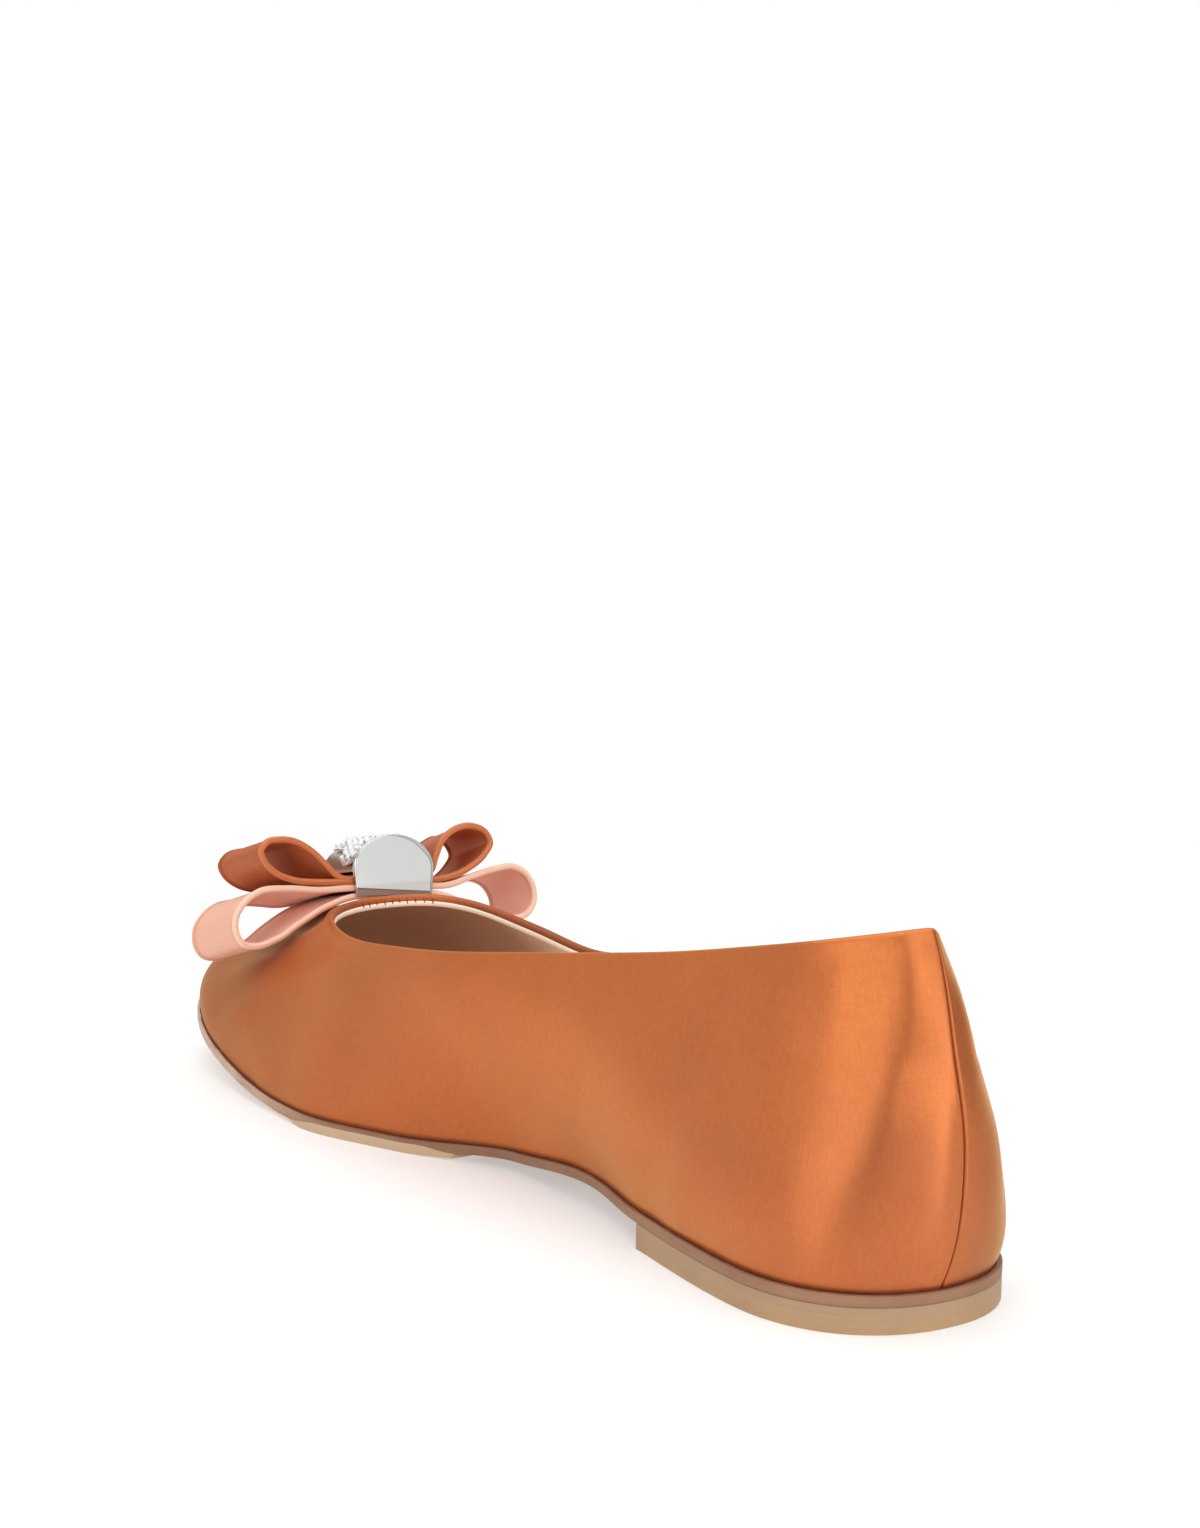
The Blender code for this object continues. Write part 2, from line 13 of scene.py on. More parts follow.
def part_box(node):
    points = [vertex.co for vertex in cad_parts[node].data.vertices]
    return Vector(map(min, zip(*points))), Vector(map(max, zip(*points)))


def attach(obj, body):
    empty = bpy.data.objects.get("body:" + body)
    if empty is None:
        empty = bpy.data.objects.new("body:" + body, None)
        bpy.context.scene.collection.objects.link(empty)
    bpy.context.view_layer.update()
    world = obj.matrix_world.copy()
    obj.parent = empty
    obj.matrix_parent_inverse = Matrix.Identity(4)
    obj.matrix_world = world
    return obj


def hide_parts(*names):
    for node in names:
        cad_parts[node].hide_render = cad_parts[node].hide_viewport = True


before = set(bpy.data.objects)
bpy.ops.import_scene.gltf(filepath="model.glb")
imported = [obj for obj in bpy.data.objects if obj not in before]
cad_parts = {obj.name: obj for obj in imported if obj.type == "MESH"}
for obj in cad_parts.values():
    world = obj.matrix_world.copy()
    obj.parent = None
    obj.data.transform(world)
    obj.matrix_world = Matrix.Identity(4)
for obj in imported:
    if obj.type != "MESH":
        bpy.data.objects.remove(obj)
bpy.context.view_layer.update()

MM = 0.001

# The last: outline, spring, topline and wall sections ------------------------------------
SOLE_LENGTH = 255.0
HEEL_RADIUS = 28.0           # length of the round back of the heel
HEEL_HALF_WIDTH = 25.2
HEEL_ROUNDNESS = 2.19
TOE_ROUNDNESS = 2.06
TOE_SWING = 17.2             # how far the toe's tip lies towards the inner side
INNER_TOE_START = 195.0
OUTER_TOE_START = 172.0
SOLE_THICKNESS = 2.0
HEEL_BREAST = 63.0
PAD_THICKNESS = 0.8
PAD_START = 131.0
PAD_ROUND = 178.0
PAD_END = 222.0
PAD_ROUNDNESS = 2.3
PAD_LAP = {"along": (131, 139, 165, 175), "height": (0, 1.2, 1.2, 0)}     # it laps the sole's edge
PAD_SKIVE = {"along": (171.5, 177), "thickness": (1.0, 0.15)}        # and is pared thin in front
UPPER_INSET = 0.9            # the upper stands in from the sole's edge
UPPER_WALL = 2.0             # satin, stiffener and lining together
COLLAR_BACK = 8.9
COLLAR_ARC = 30.0
COLLAR_ROUNDNESS = 1.45
THROAT = 195.5
THROAT_START = 128.0
THROAT_ROUNDNESS = 2.95
THROAT_SWING = 3.1
COLLAR_SWING = 2.0           # the topline's peak at the back stands this far to the outer side
SWING_NONE = 60.0            # where the topline's centre is on the shoe's axis
SWING_BEND = 1.5             # how its centre curves from there to the throat
COLLAR_BACK_SHARE = 1.35     # at the back, a line inside the topline lies this many insets forward
VAMP_FAN = 0.5               # how the sections of the wall fan out from the sole to the throat
VAMP_EARLY = 2.46
VAMP_LATE = 1.3
EDGE = {
    "along": (28, 63, 88, 115, 145, 172, 195),
    "inner": (25.2, 22.0, 17.6, 17.2, 29.5, 38.2, 38.2),
    "outer": (25.2, 24.6, 25.0, 27.6, 34.0, 37.8, 37.8),
}
SPRING = {
    "along": (0, 63, 88, 115, 146, 182, 220, 262),
    "height": (4.8, 5.0, 5.6, 3.1, 1.1, 1.1, 5.8, 12.2),
}
COLLAR = {
    "along": (30, 60, 90, 128),
    "inner": (15.5, 18.5, 22.0, 29.0),
    "outer": (11.5, 18.0, 21.5, 21.0),
}
COLLAR_HEIGHT = {
    "along": (8.5, 10.5, 12.6, 18.3, 30, 60, 100, 140, 165, 195.5),
    "height": (67.4, 66.95, 66.4, 65.25, 62.7, 56.5, 50.0, 44.7, 42.5, 43.8),
    "outer_drop": (0, 0.6, 1.2, 2.1, 3.0, 4.4, 4.7, 5.8, 2.0, 0),
}
WALL = {
    "along": (0, 10, 30, 63, 90, 120, 150, 175, 205, 235, 248, 255),
    "inner_swell": (5.5, 6.1, 7.0, 7.4, 7.9, 7.5, 5.6, 4.4, 4.1, 4.4, 4.0, 3.6),
    "outer_swell": (5.5, 5.2, 5.3, 5.8, 5.9, 5.4, 4.6, 4.0, 3.5, 3.3, 3.4, 3.6),
    "rise": (9.5, 11, 14.5, 17.5, 17, 15.5, 14, 14, 14, 13.5, 13, 13),
    "inner_lean": (11, 6, 6, 7.4, 7, 6.4, 6, 5.5, 5.5, 8, 15, 24.5),
    "outer_lean": (11, 6, 6, 7.4, 7, 6.4, 7, 9.2, 14, 21, 24, 24.5),
    "inner_drop": (23, 22, 20.5, 18, 15, 12, 10, 9.5, 10.5, 11.5, 8, 5.5),
    "outer_drop": (23, 22, 20.5, 18, 15, 12, 9, 7.3, 6.1, 5.6, 5.5, 5.5),
}
CENTRE_X = -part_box("outsole")[0].x / MM
CENTRE_Y = EDGE["inner"][-1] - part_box("outsole")[1].y / MM

# Finish of the upper ---------------------------------------------------------------------
HEEL_STATIONS = 30
MID_STATIONS = 44
TOE_STATIONS = 56
WALL_ROWS = 44
ROW_CROWDING = 1.5           # they lie closer together towards the topline
ROLL_STEPS = 9               # round the topline
ROLL_RADIUS = 1.05           # the satin rolls over the topline
THROAT_ROLL = 0.98           # more tightly round the throat
VAMP_ROLL_START = 120.0      # the throat's roll begins here and is full this much further on
VAMP_ROLL_REACH = 45.0
THROAT_BEAD = 0.35           # there the roll stands proud of the vamp
BEAD_WIDTH = 1.4
TURN_IN = 0.8                # the satin reaches this far down below the roll
THROAT_TURN_IN = 0.5
SATIN_END = {"down": 0.35, "behind": 0.5}      # and its end goes on behind the lining's edge
TURNED_UNDER = 0.8           # at the sole it is turned under by this share of the wall's thickness
EVEN_COLUMNS = 300
RING_SAMPLES = 900
RING_SOFTEN = 3.0            # mm over which the outline's joints are eased
# The satin's edge rolls into the back seam: distance from the seam, and depth below the surface
SEAM_FOLD = {
    "from_seam": (0.03, 0.04, 0.07, 0.16, 0.32, 0.55, 0.85, 1.3, 2.0, 3.0, 4.4, 6.2, 8.5, 11.5),
    "depth": (1.5, 1.0, 0.62, 0.33, 0.14, 0.03, 0, 0, 0, 0, 0, 0, 0, 0),
}
SEAM_TOP_SHARE = 0.6         # the fold is less deep where it crosses the rolled topline
# The back seam stands off the shoe's axis towards the outer side: share of the wall's height, and offset
SEAM_SWAY = {"height": (0, 0.27, 0.5, 0.74, 0.88, 1), "offset": (-1.0, 0, 0.5, -0.5, -0.2, 0)}
SATIN_WAVES = 9              # the cloth is not quite even: long, very shallow waves
WAVE_LENGTHS = (10.0, 30.0)
WAVE_SLOPE = 0.024
WAVE_STRETCH = 0.7           # a little longer up the wall than round it
WAVE_FREE_EDGE = 5.0         # they fade in over this distance from seam, topline and sole
WAVE_FREE_FOOT = 1.0         # and leave this much of the cloth's lower edge alone
LINING_EDGE = 0.55           # radius of the lining's pale folded edge
LINING_EDGE_SHAPE = (0.8, 1.15)      # it is a little flat
# Where that edge and the lining's first row lie, from the satin's turned end: radii down, mm behind
LINING_EDGE_AT = {"down": 0.9, "behind": 0.1}
LINING_TOP = {"down": 1.6, "behind": 0.3}
LINING_JOIN = 2.5            # it follows the wall's inner face from this far below the turn-in,
LINING_EASE = 0.5            # and comes on to it over this share of the wall's height
LINING_UNDER = 0.6           # its foot goes in under the sock
PLEAT_SPACING = 1.95         # small pleats where the satin turns round the throat
PLEAT_REACH = (-6.5, 11.5)
PLEAT_LENGTH = 0.95
PLEAT_RADIUS = 0.13
PLEAT_SHAPE = ((0.0, 0.8), (0.3, 1.0), (0.7, 1.0), (1.0, 0.8))      # share of the way, of the radius
# Its two ends, over and under the satin's turned end: share of its length, and how far each stands out
PLEAT_OVER = {"share": 0.75, "out": 0.04}
PLEAT_UNDER = {"share": 0.25, "out": 0.3}
PLEAT_SHIFT = 0.14           # they are a little uneven in place
PLEAT_STRETCH = 0.15         # and in length
# Dark cord of painted shade in the groove between upper and sole, lying on the sole's edge: thicker at the
# ball
FEATHER_RADIUS = {"along": (0, 90, 140, 200, 255), "radius": (0.48, 0.5, 0.66, 0.62, 0.5)}
FEATHER_DROP = 0.35
FEATHER_RIPPLE = 0.12        # it is a little uneven, in two beats
FEATHER_BEATS = (0.9, 0.23)
LAYER_CREASE = 50            # edges of the bottom's layers sharper than this angle stay sharp
SOLE_ROUNDING = 0.25         # radii of the edges of sole, heel, pad and sock
HEEL_ROUNDING = 0.35
PAD_ROUNDING = 0.2
SOCK_ROUNDING = 0.8
HEEL_INSET = 0.05            # the heel stands this far in from the sole's edge
HEEL_HEIGHT = 4.8            # taken for that rounding
HEEL_PRESSED = 0.02          # and is pressed this far into the sole
PAD_OVERHANG = 0.06          # the pad stands this far out past the sole's edge
SOCK_BASE = 2.3              # the sock's faces above the sole's underside
SOCK_TOP = 4.5
SOCK_CLEARANCE = 0.1

# Bow -------------------------------------------------------------------------------------
BOW_AT = (201.5, -0.8, 43.8)
BOW_TILT = 11.0
BOW_ROLL = 3.5
RIBBON_FLARE = 0.01
RIBBON_SWAY = 1.9
RIBBON_DROOP = 2.4
RIBBON_SETTLE = 32.0
SETTLE_BEND = 1.5
RIBBON_HALF = 0.42           # half thickness of a ribbon's face
RIM_RADIUS = 0.78            # its edges are folded and rounded
# Points of the section just behind the rim, where its surface bends most
RIM_POINTS = (0.12, 0.26, 0.42, 0.6, 0.8, 1.05, 1.4, 2.2)
RIM_FADE = 0.32              # the rim falls to the face over this width
RIM_GROOVE = 0.12            # and a sewn line sinks in behind it: depth, place and width
GROOVE_AT = 0.6
GROOVE_WIDTH = 0.28
FACE_SAMPLES = 9             # points across the plain middle, which begins this far from the rim
FACE_MARGIN = 3.2
# The far edge of a loop's upper strand sinks towards its lower strand: place (the left is positive)
# and depth
ORANGE_PINCH = {
    "out": (-26, -22, -17, -13, -9, 8, 11, 14, 18, 21, 24.5),
    "depth": (0.6, 1.0, 2.2, 2.0, 0, 0, 0.8, 3.2, 4.6, 3.0, 0),
}
PINK_PINCH = {"out": (9, 12.5, 16, 19, 24, 30, 36), "depth": (0, 0.8, 1.7, 2.1, 1.5, 0.5, 0)}
# The near edge of the orange ribbon's upper strand comes down to the clasp
ORANGE_DIP = {"out": (7, 9.5, 11.5, 14, 19), "depth": (0, 1.0, 1.3, 0.9, 0)}
# The near edge of the pink ribbon's lower strand lies down on the vamp under and beside the clasp
PINK_TUCK = {
    "out": (-10, -7, 9, 12.5, 16, 20, 26, 33),
    "depth": (0, 0.4, 0.45, 0.8, 1.1, 1.1, 0.6, 0),
}
CLOTH_WIDTH = 17.0           # width of both ribbons as woven
STRAND_HALF = 8.0
RIBBON_POINTS_PER_ROW = 14
ORANGE_LEFT = {
    "out": (11.0, 13.5, 17, 20.3, 23.5, 27.7, 31.2, 32.6, 31.8, 29.2, 25, 18.5, 11.0),
    "up": (4.2, 4.8, 7.4, 10.1, 11.8, 12.5, 11.8, 9.8, 7.6, 5.0, 3.3, 2.6, 2.6),
}
ORANGE_RIGHT = {
    "out": (10.6, 11.9, 14.2, 17.4, 21.8, 25.6, 26.9, 25.2, 20.5, 14.2, 10.5),
    "up": (4.8, 7.8, 12.2, 14.5, 15.2, 13.7, 11.2, 8.4, 5.1, 3.0, 2.6),
}
PINK_LEFT = {
    "out": (11.0, 18, 26.5, 33, 37, 39.2, 39.2, 37.7, 34.2, 29.2, 23.3, 18.0, 12.5, 10.0),
    "up": (1.1, 0.9, 1.4, 0.9, -1.6, -5.0, -8.3, -10.7, -11.4, -9.7, -5.7, -2.6, -0.8, -0.5),
}
PINK_RIGHT = {
    "out": (10.0, 15, 21.5, 27.5, 33, 36.4, 38.3, 38.2, 36.2, 32.5, 26, 19, 12.5, 10.0),
    "up": (1.1, 1.3, 3.2, 4.8, 5.4, 3.6, 0.2, -3.4, -6.0, -6.9, -5.4, -3.0, -0.8, -0.5),
}
ORANGE_STRANDS = (4.1, 2.6)
PINK_STRANDS = (1.1, -0.4)
RIBBON_SPREAD = {"out": (0, 11, 24, 41), "width": (15.4, 15.8, 18.6, 19.4)}
CLASP_HALF_WIDTH = 10.4
CLASP_SHOULDER = 5.6
CLASP_TOP = 13.2
CLASP_FOOT = -0.95
CLASP_FOOT_HALF_WIDTH = 9.7
CLASP_WALL = 1.2
CLASP_DEPTH = 16.2
CLASP_STEP = 1.3
CLASP_SIDE_OPENING = 4.7
CLASP_BEVEL = 0.25
# Border round the plate's raised face, from its left foot over the arch to its right foot:
# share of the way, width of the border, and how far it falls away
CLASP_BORDER = {
    "share": (0, 0.02, 0.48, 0.6, 0.78, 0.9, 0.98, 1),
    "width": (0.34, 0.3, 0.3, 0.7, 1.3, 1.0, 0.85, 0.75),
    "fall": (0.7, 0.14, 0.1, 0.16, 0.3, 0.25, 0.2, 0.3),
}
CLASP_LINE = 24              # from this point of the outline on, a dark line of painted shade runs round the raised face
CLASP_LINE_RADIUS = 0.07
CLASP_FACE = 0.1             # thickness of the polished face
CLASP_FOOT_BORDER = (2.0, 0.8)      # its height at the left and the right foot
CLASP_FACE_RISE = 0.1        # at the left foot the raised face begins this much lower than that
BORDER_SLOPE = (0.16, 0.36)  # close to the face the border falls faster: share of width, of fall
CLASP_CREASE = 11.5          # edges sharper than this angle stay sharp
CAP_THICKNESS = 0.8
# The cap reaches down beside the plate: depth behind the plate, and angle from the top
CAP_REACH = {"depth": (0.3, 2.6, 5.0, 7.6, 9.5, 16.2), "angle": (62, 82, 84, 56, 50, 46)}
CAP_MARGIN = 0.5
CAP_STATIONS = 24
CAP_ROUNDING = 0.25          # at both ends its thickness tapers over this depth to this share
CAP_TAPER = 0.5
STUD_PITCH = 1.62
STUD_RADIUS = 0.84
STUD_HEIGHT = 0.78
STUD_TILT = 0.16             # no two studs sit quite alike
STUD_SIZES = (0.88, 1.04)
STUD_CREASE = 5
STUD_FACETS = 8
# A stud's rings from its foot to its flat table: radius, height, and turn in facets
STUD_SHAPE = ((1.0, -0.3, 0), (1.0, 0.2, 0), (0.84, 0.62, 0.5), (0.5, 1.0, 0))
ROW_PITCH = 0.9              # of the pitch in a row, as the rows are staggered
ROW_MARGIN = 1.5             # of a stud's radius, left free at a row's ends together
GAP = 0.3

# Camera, in the shoe's millimetres and degrees -------------------------------------------
CAMERA_AT = (-325.8, 279.3, 148.6)
CAMERA_TURN = 32.56          # it looks along the shoe, turned this far to the outer side
CAMERA_PITCH = 7.13
CAMERA_ROLL = 0.67
CAMERA_LENS = 61.34

FLOOR_RADIUS = 0.47          # metres; the backdrop's white begins behind it
FLOOR_GLOW = 0.4             # lit a little from below, as a product table is
# Long lights: both ends as azimuth and elevation seen from the place each is aimed at; metres, watts
HEEL_AT = (-0.10, 0, 0.03)
SOFTBOXES = {
    "side_softbox": {"start": (125, 44), "end": (95, -8), "distance": 0.9, "width": 0.24,
                     "power": 1.6, "aim": HEEL_AT},
    "back_softbox": {"start": (141, 37), "end": (-161, 1), "distance": 0.9, "width": 0.13,
                     "power": 3.0, "aim": HEEL_AT},
    "top_softbox": {"start": (30, 53), "end": (-150, 63), "distance": 1.1, "width": 1.4,
                    "power": 8.5, "aim": (0, 0, 0.03)},
}
# Walls of the studio: direction, angle where each part begins and where it is full, its light
WALL_LIGHT = 0.62
WALL_PARTS = (
    ((0.84, -0.54, -0.05), 44, 23, 1.0),
    ((-0.84, 0.53, 0.05), 40, 12, 0.14),
    ((-0.30, -0.95, 0.0), 36, 14, 0.15),
    ((-0.83, -0.55, 0.15), 28, 14, 0.9),
)


# Shape of the last -----------------------------------------------------------------------
def smooth(table, x, name=None):
    """Cubic through a table's second column, or the named one, over its first one: level at its
    ends and without overshoot."""
    columns = list(table)
    table_x = np.asarray(table[columns[0]], float)
    table_y = np.asarray(table[name or columns[1]], float)
    x = np.clip(np.asarray(x, float), table_x[0], table_x[-1])
    step = np.diff(table_x)
    slope = np.diff(table_y) / step
    tangent = np.zeros(len(table_x))
    for i in range(1, len(table_x) - 1):
        if slope[i - 1] * slope[i] > 0:
            w1 = 2 * step[i] + step[i - 1]
            w2 = step[i] + 2 * step[i - 1]
            tangent[i] = (w1 + w2) / (w1 / slope[i - 1] + w2 / slope[i])
    i = np.clip(np.searchsorted(table_x, x, side="right") - 1, 0, len(step) - 1)
    t = (x - table_x[i]) / step[i]
    return ((1 + 2 * t) * (1 - t) ** 2 * table_y[i] + t * (1 - t) ** 2 * step[i] * tangent[i]
            + t * t * (3 - 2 * t) * table_y[i + 1] + t * t * (t - 1) * step[i] * tangent[i + 1])


def ease(share):
    """0 to 1 eased at both ends."""
    return share * share * (3 - 2 * share)


def arc(u, roundness):
    """Quarter of a rounded oval: 1 at u = 0, falling to 0 at u = 1."""
    return np.maximum(0.0, 1 - np.clip(u, 0, 1) ** roundness) ** (1 / roundness)


def edge_y(x, side):
    """Sole edge at distance x along the shoe, on the "inner" or the "outer" side."""
    sign = 1 if side == "inner" else -1
    toe_start = INNER_TOE_START if side == "inner" else OUTER_TOE_START
    body = sign * smooth(EDGE, x, side)
    back = sign * HEEL_HALF_WIDTH * arc((HEEL_RADIUS - x) / HEEL_RADIUS, HEEL_ROUNDNESS)
    widest = sign * EDGE[side][-1]
    toe_u = (x - toe_start) / (SOLE_LENGTH - toe_start)
    toe = TOE_SWING + (widest - TOE_SWING) * arc(toe_u, TOE_ROUNDNESS)
    return np.where(x < HEEL_RADIUS, back, np.where(x > toe_start, toe, body))


def collar_y(x, side, inset=0.0):
    """Topline at distance x along the shoe, or a line inside it."""
    sign = 1 if side == "inner" else -1
    back_x = collar_back(inset)
    body = smooth(COLLAR, x, side) - inset
    back = (COLLAR[side][0] - inset) * arc((COLLAR_ARC - x) / (COLLAR_ARC - back_x), COLLAR_ROUNDNESS)
    front_u = (x - THROAT_START) / (THROAT - inset - THROAT_START)
    front = (COLLAR[side][-1] - inset) * arc(front_u, THROAT_ROUNDNESS)
    half = np.where(x < COLLAR_ARC, back, np.where(x > THROAT_START, front, body))
    swing = THROAT_SWING * np.clip((x - SWING_NONE) / (THROAT - SWING_NONE), 0, 1) ** SWING_BEND
    swing = swing - COLLAR_SWING * np.clip((SWING_NONE - x) / (SWING_NONE - COLLAR_BACK), 0, 1) ** 2
    return sign * half + swing


def collar_back(inset):
    return COLLAR_BACK + COLLAR_BACK_SHARE * inset


def sole_z(x):
    return smooth(SPRING, x)


def stations(inset=0.0):
    """Places along the sole and the topline that one section of the wall joins, heel to toe."""
    heel = np.linspace(0, np.pi / 2, HEEL_STATIONS + 1)
    toe = np.sin(np.linspace(0, np.pi / 2, TOE_STATIONS + 1))
    vamp = 1 - VAMP_FAN * (1 - toe) ** VAMP_LATE - (1 - VAMP_FAN) * (1 - toe) ** VAMP_EARLY
    mid = np.linspace(COLLAR_ARC, THROAT_START, MID_STATIONS + 1)[1:-1]
    back = collar_back(inset)
    sole = np.concatenate([COLLAR_ARC * (1 - np.cos(heel)), mid,
                           THROAT_START + (SOLE_LENGTH - THROAT_START) * toe])
    top = np.concatenate([back + (COLLAR_ARC - back) * (1 - np.cos(heel)), mid,
                          THROAT_START + (THROAT - inset - THROAT_START) * vamp])
    return sole, top


def ring(x, y_of):
    """Closed ring of plan points: up the inner side from the heel to the toe, back on the outer."""
    return both_sides(*[np.stack([x, y_of(x, side)], 1) for side in ("inner", "outer")])


def neighbours(points, axis=0):
    """From the point before to the point after each one of a closed ring."""
    return np.roll(points, -1, axis) - np.roll(points, 1, axis)


def outward(points):
    """Unit normals of a closed plan ring, pointing out of it."""
    along = neighbours(points)
    normal = np.stack([-along[:, 1], along[:, 0]], 1)
    return normal / np.linalg.norm(normal, axis=1)[:, None]


def both_sides(inner, outer):
    """Values for the stations of the inner and the outer side, round the ring."""
    return np.concatenate([inner, outer[-2:0:-1]])


def bezier(foot, low, high, top, v):
    return (1 - v) ** 3 * foot + 3 * v * (1 - v) ** 2 * low + 3 * v * v * (1 - v) * high + v ** 3 * top


def wall_sections(inset):
    """Control points of the wall's sections round the ring, for the wall's face at this depth."""
    sole_x, top_x = stations(inset)
    foot_plan = ring(sole_x, edge_y)
    foot_out = outward(foot_plan)
    foot_plan = foot_plan - foot_out * (UPPER_INSET + inset)
    top_plan = ring(top_x, lambda x, side: collar_y(x, side, inset))
    top_out = outward(top_plan)
    level_x = stations()[1]
    height = smooth(COLLAR_HEIGHT, level_x)
    drop = smooth(COLLAR_HEIGHT, level_x, "outer_drop")

    def column(name, other=None):
        return both_sides(smooth(WALL, sole_x, name), smooth(WALL, sole_x, other or name))

    zero = np.zeros((len(foot_plan), 1))
    floor_gap = sole_z(sole_x)
    foot = np.c_[foot_plan, both_sides(floor_gap, floor_gap) + SOLE_THICKNESS]
    top = np.c_[top_plan, both_sides(height, height - drop)]
    low = foot + np.c_[foot_out, zero] * column("inner_swell", "outer_swell")[:, None]
    low[:, 2] += column("rise")
    high = top + np.c_[top_out, zero] * column("inner_lean", "outer_lean")[:, None]
    high[:, 2] -= column("inner_drop", "outer_drop")
    return foot, low, high, top


def unit(vectors):
    return vectors / np.maximum(np.linalg.norm(vectors, axis=-1, keepdims=True), 1e-9)


def run_along(line):
    """Distance from the start of a line to each of its points."""
    return np.concatenate([[0], np.cumsum(np.linalg.norm(np.diff(line, axis=0), axis=1))])


def eased(row, start=0.0):
    """An open line from seam to seam, sampled evenly and eased over RING_SOFTEN; its ends stay.
    start moves its ends this far round from the ring's first point, towards the outer side."""
    line = np.concatenate([row, row[:1]])
    run = run_along(line)
    even = np.linspace(0, run[-1], RING_SAMPLES) - start
    line = np.stack([np.interp(even, run, line[:, i], period=run[-1]) for i in range(3)], 1)
    reach = max(2, int(round(RING_SOFTEN / (even[1] - even[0]))))
    weight = np.exp(-0.5 * (np.arange(-3 * reach, 3 * reach + 1) / reach) ** 2)
    weight /= weight.sum()
    pad = 3 * reach
    before = 2 * line[0] - line[pad:0:-1]
    after = 2 * line[-1] - line[-2:-pad - 2:-1]
    longer = np.concatenate([before, line, after])
    return np.stack([np.convolve(longer[:, i], weight, "valid") for i in range(3)], 1)


def along_line(line, distances):
    """Points at the given distances along an open line."""
    run = run_along(line)
    return np.stack([np.interp(distances, run, line[:, i]) for i in range(3)], 1), run[-1]


def place(points):
    """The shoe's millimetres to the frame's metres."""
    return (np.asarray(points, float) - np.array([CENTRE_X, CENTRE_Y, 0.0])) * MM


# Meshes ----------------------------------------------------------------------------------
def grid_faces(rows, columns, close_rows, close_columns):
    faces = []
    for r in range(rows if close_rows else rows - 1):
        for c in range(columns if close_columns else columns - 1):
            r2 = (r + 1) % rows
            c2 = (c + 1) % columns
            faces.append((r * columns + c, r * columns + c2, r2 * columns + c2, r2 * columns + c))
    return faces


def add_piece(name, mesh, material, node=None, crease=180):
    """A finished mesh becomes a piece on the shoe's one body; edges sharper than crease stay sharp."""
    obj = bpy.data.objects.new(name, mesh)
    bpy.context.scene.collection.objects.link(obj)
    mesh.materials.clear()
    mesh.materials.append(material)
    mesh.shade_smooth()
    if crease < 180:
        mesh.set_sharp_from_angle(angle=np.radians(crease))
    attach(obj, "root")
    if node:
        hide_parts(node)


def new_mesh(name, vertices, faces, recalc=True):
    mesh = bpy.data.meshes.new(name)
    mesh.from_pydata([tuple(v) for v in vertices], [], faces)
    if recalc:
        edit = bmesh.new()
        edit.from_mesh(mesh)
        bmesh.ops.recalc_face_normals(edit, faces=edit.faces)
        edit.to_mesh(mesh)
        edit.free()
    return mesh


def grid_mesh(name, grid, close_rows=False, close_columns=False, uv=None):
    """Rows of points as a mesh; uv gives each point's place on the cloth, in millimetres."""
    rows, columns = grid.shape[:2]
    faces = grid_faces(rows, columns, close_rows, close_columns)
    mesh = new_mesh(name, grid.reshape(-1, 3), faces, recalc=False)
    if uv is not None:
        layer = mesh.uv_layers.new(name="cloth")
        flat = uv.reshape(-1, 2)
        corners = np.array([loop.vertex_index for loop in mesh.loops])
        layer.data.foreach_set("uv", flat[corners].astype(np.float32).ravel())
    return mesh


def sweep(path, across, up, section):
    """Rings of points: a section (pairs across and up) carried along a path."""
    return (path[:, None, :] + section[None, :, 0, None] * across[:, None, :]
            + section[None, :, 1, None] * up[:, None, :])


def circle_section(radius, sides):
    turn = np.arange(sides) / sides * 2 * np.pi
    return radius * np.stack([np.cos(turn), np.sin(turn)], 1)


# The upper -------------------------------------------------------------------------------
def strip_columns(length):
    """Distances along a row from the seam, close together near the seam and even elsewhere."""
    near = np.array(SEAM_FOLD["from_seam"])
    even = np.linspace(near[-1], length - near[-1], EVEN_COLUMNS)
    return np.concatenate([near, even[1:-1], length - near[::-1]])


def seam_depth():
    near = np.array(SEAM_FOLD["depth"])
    return np.concatenate([near, np.zeros(EVEN_COLUMNS - 2), near[::-1]])


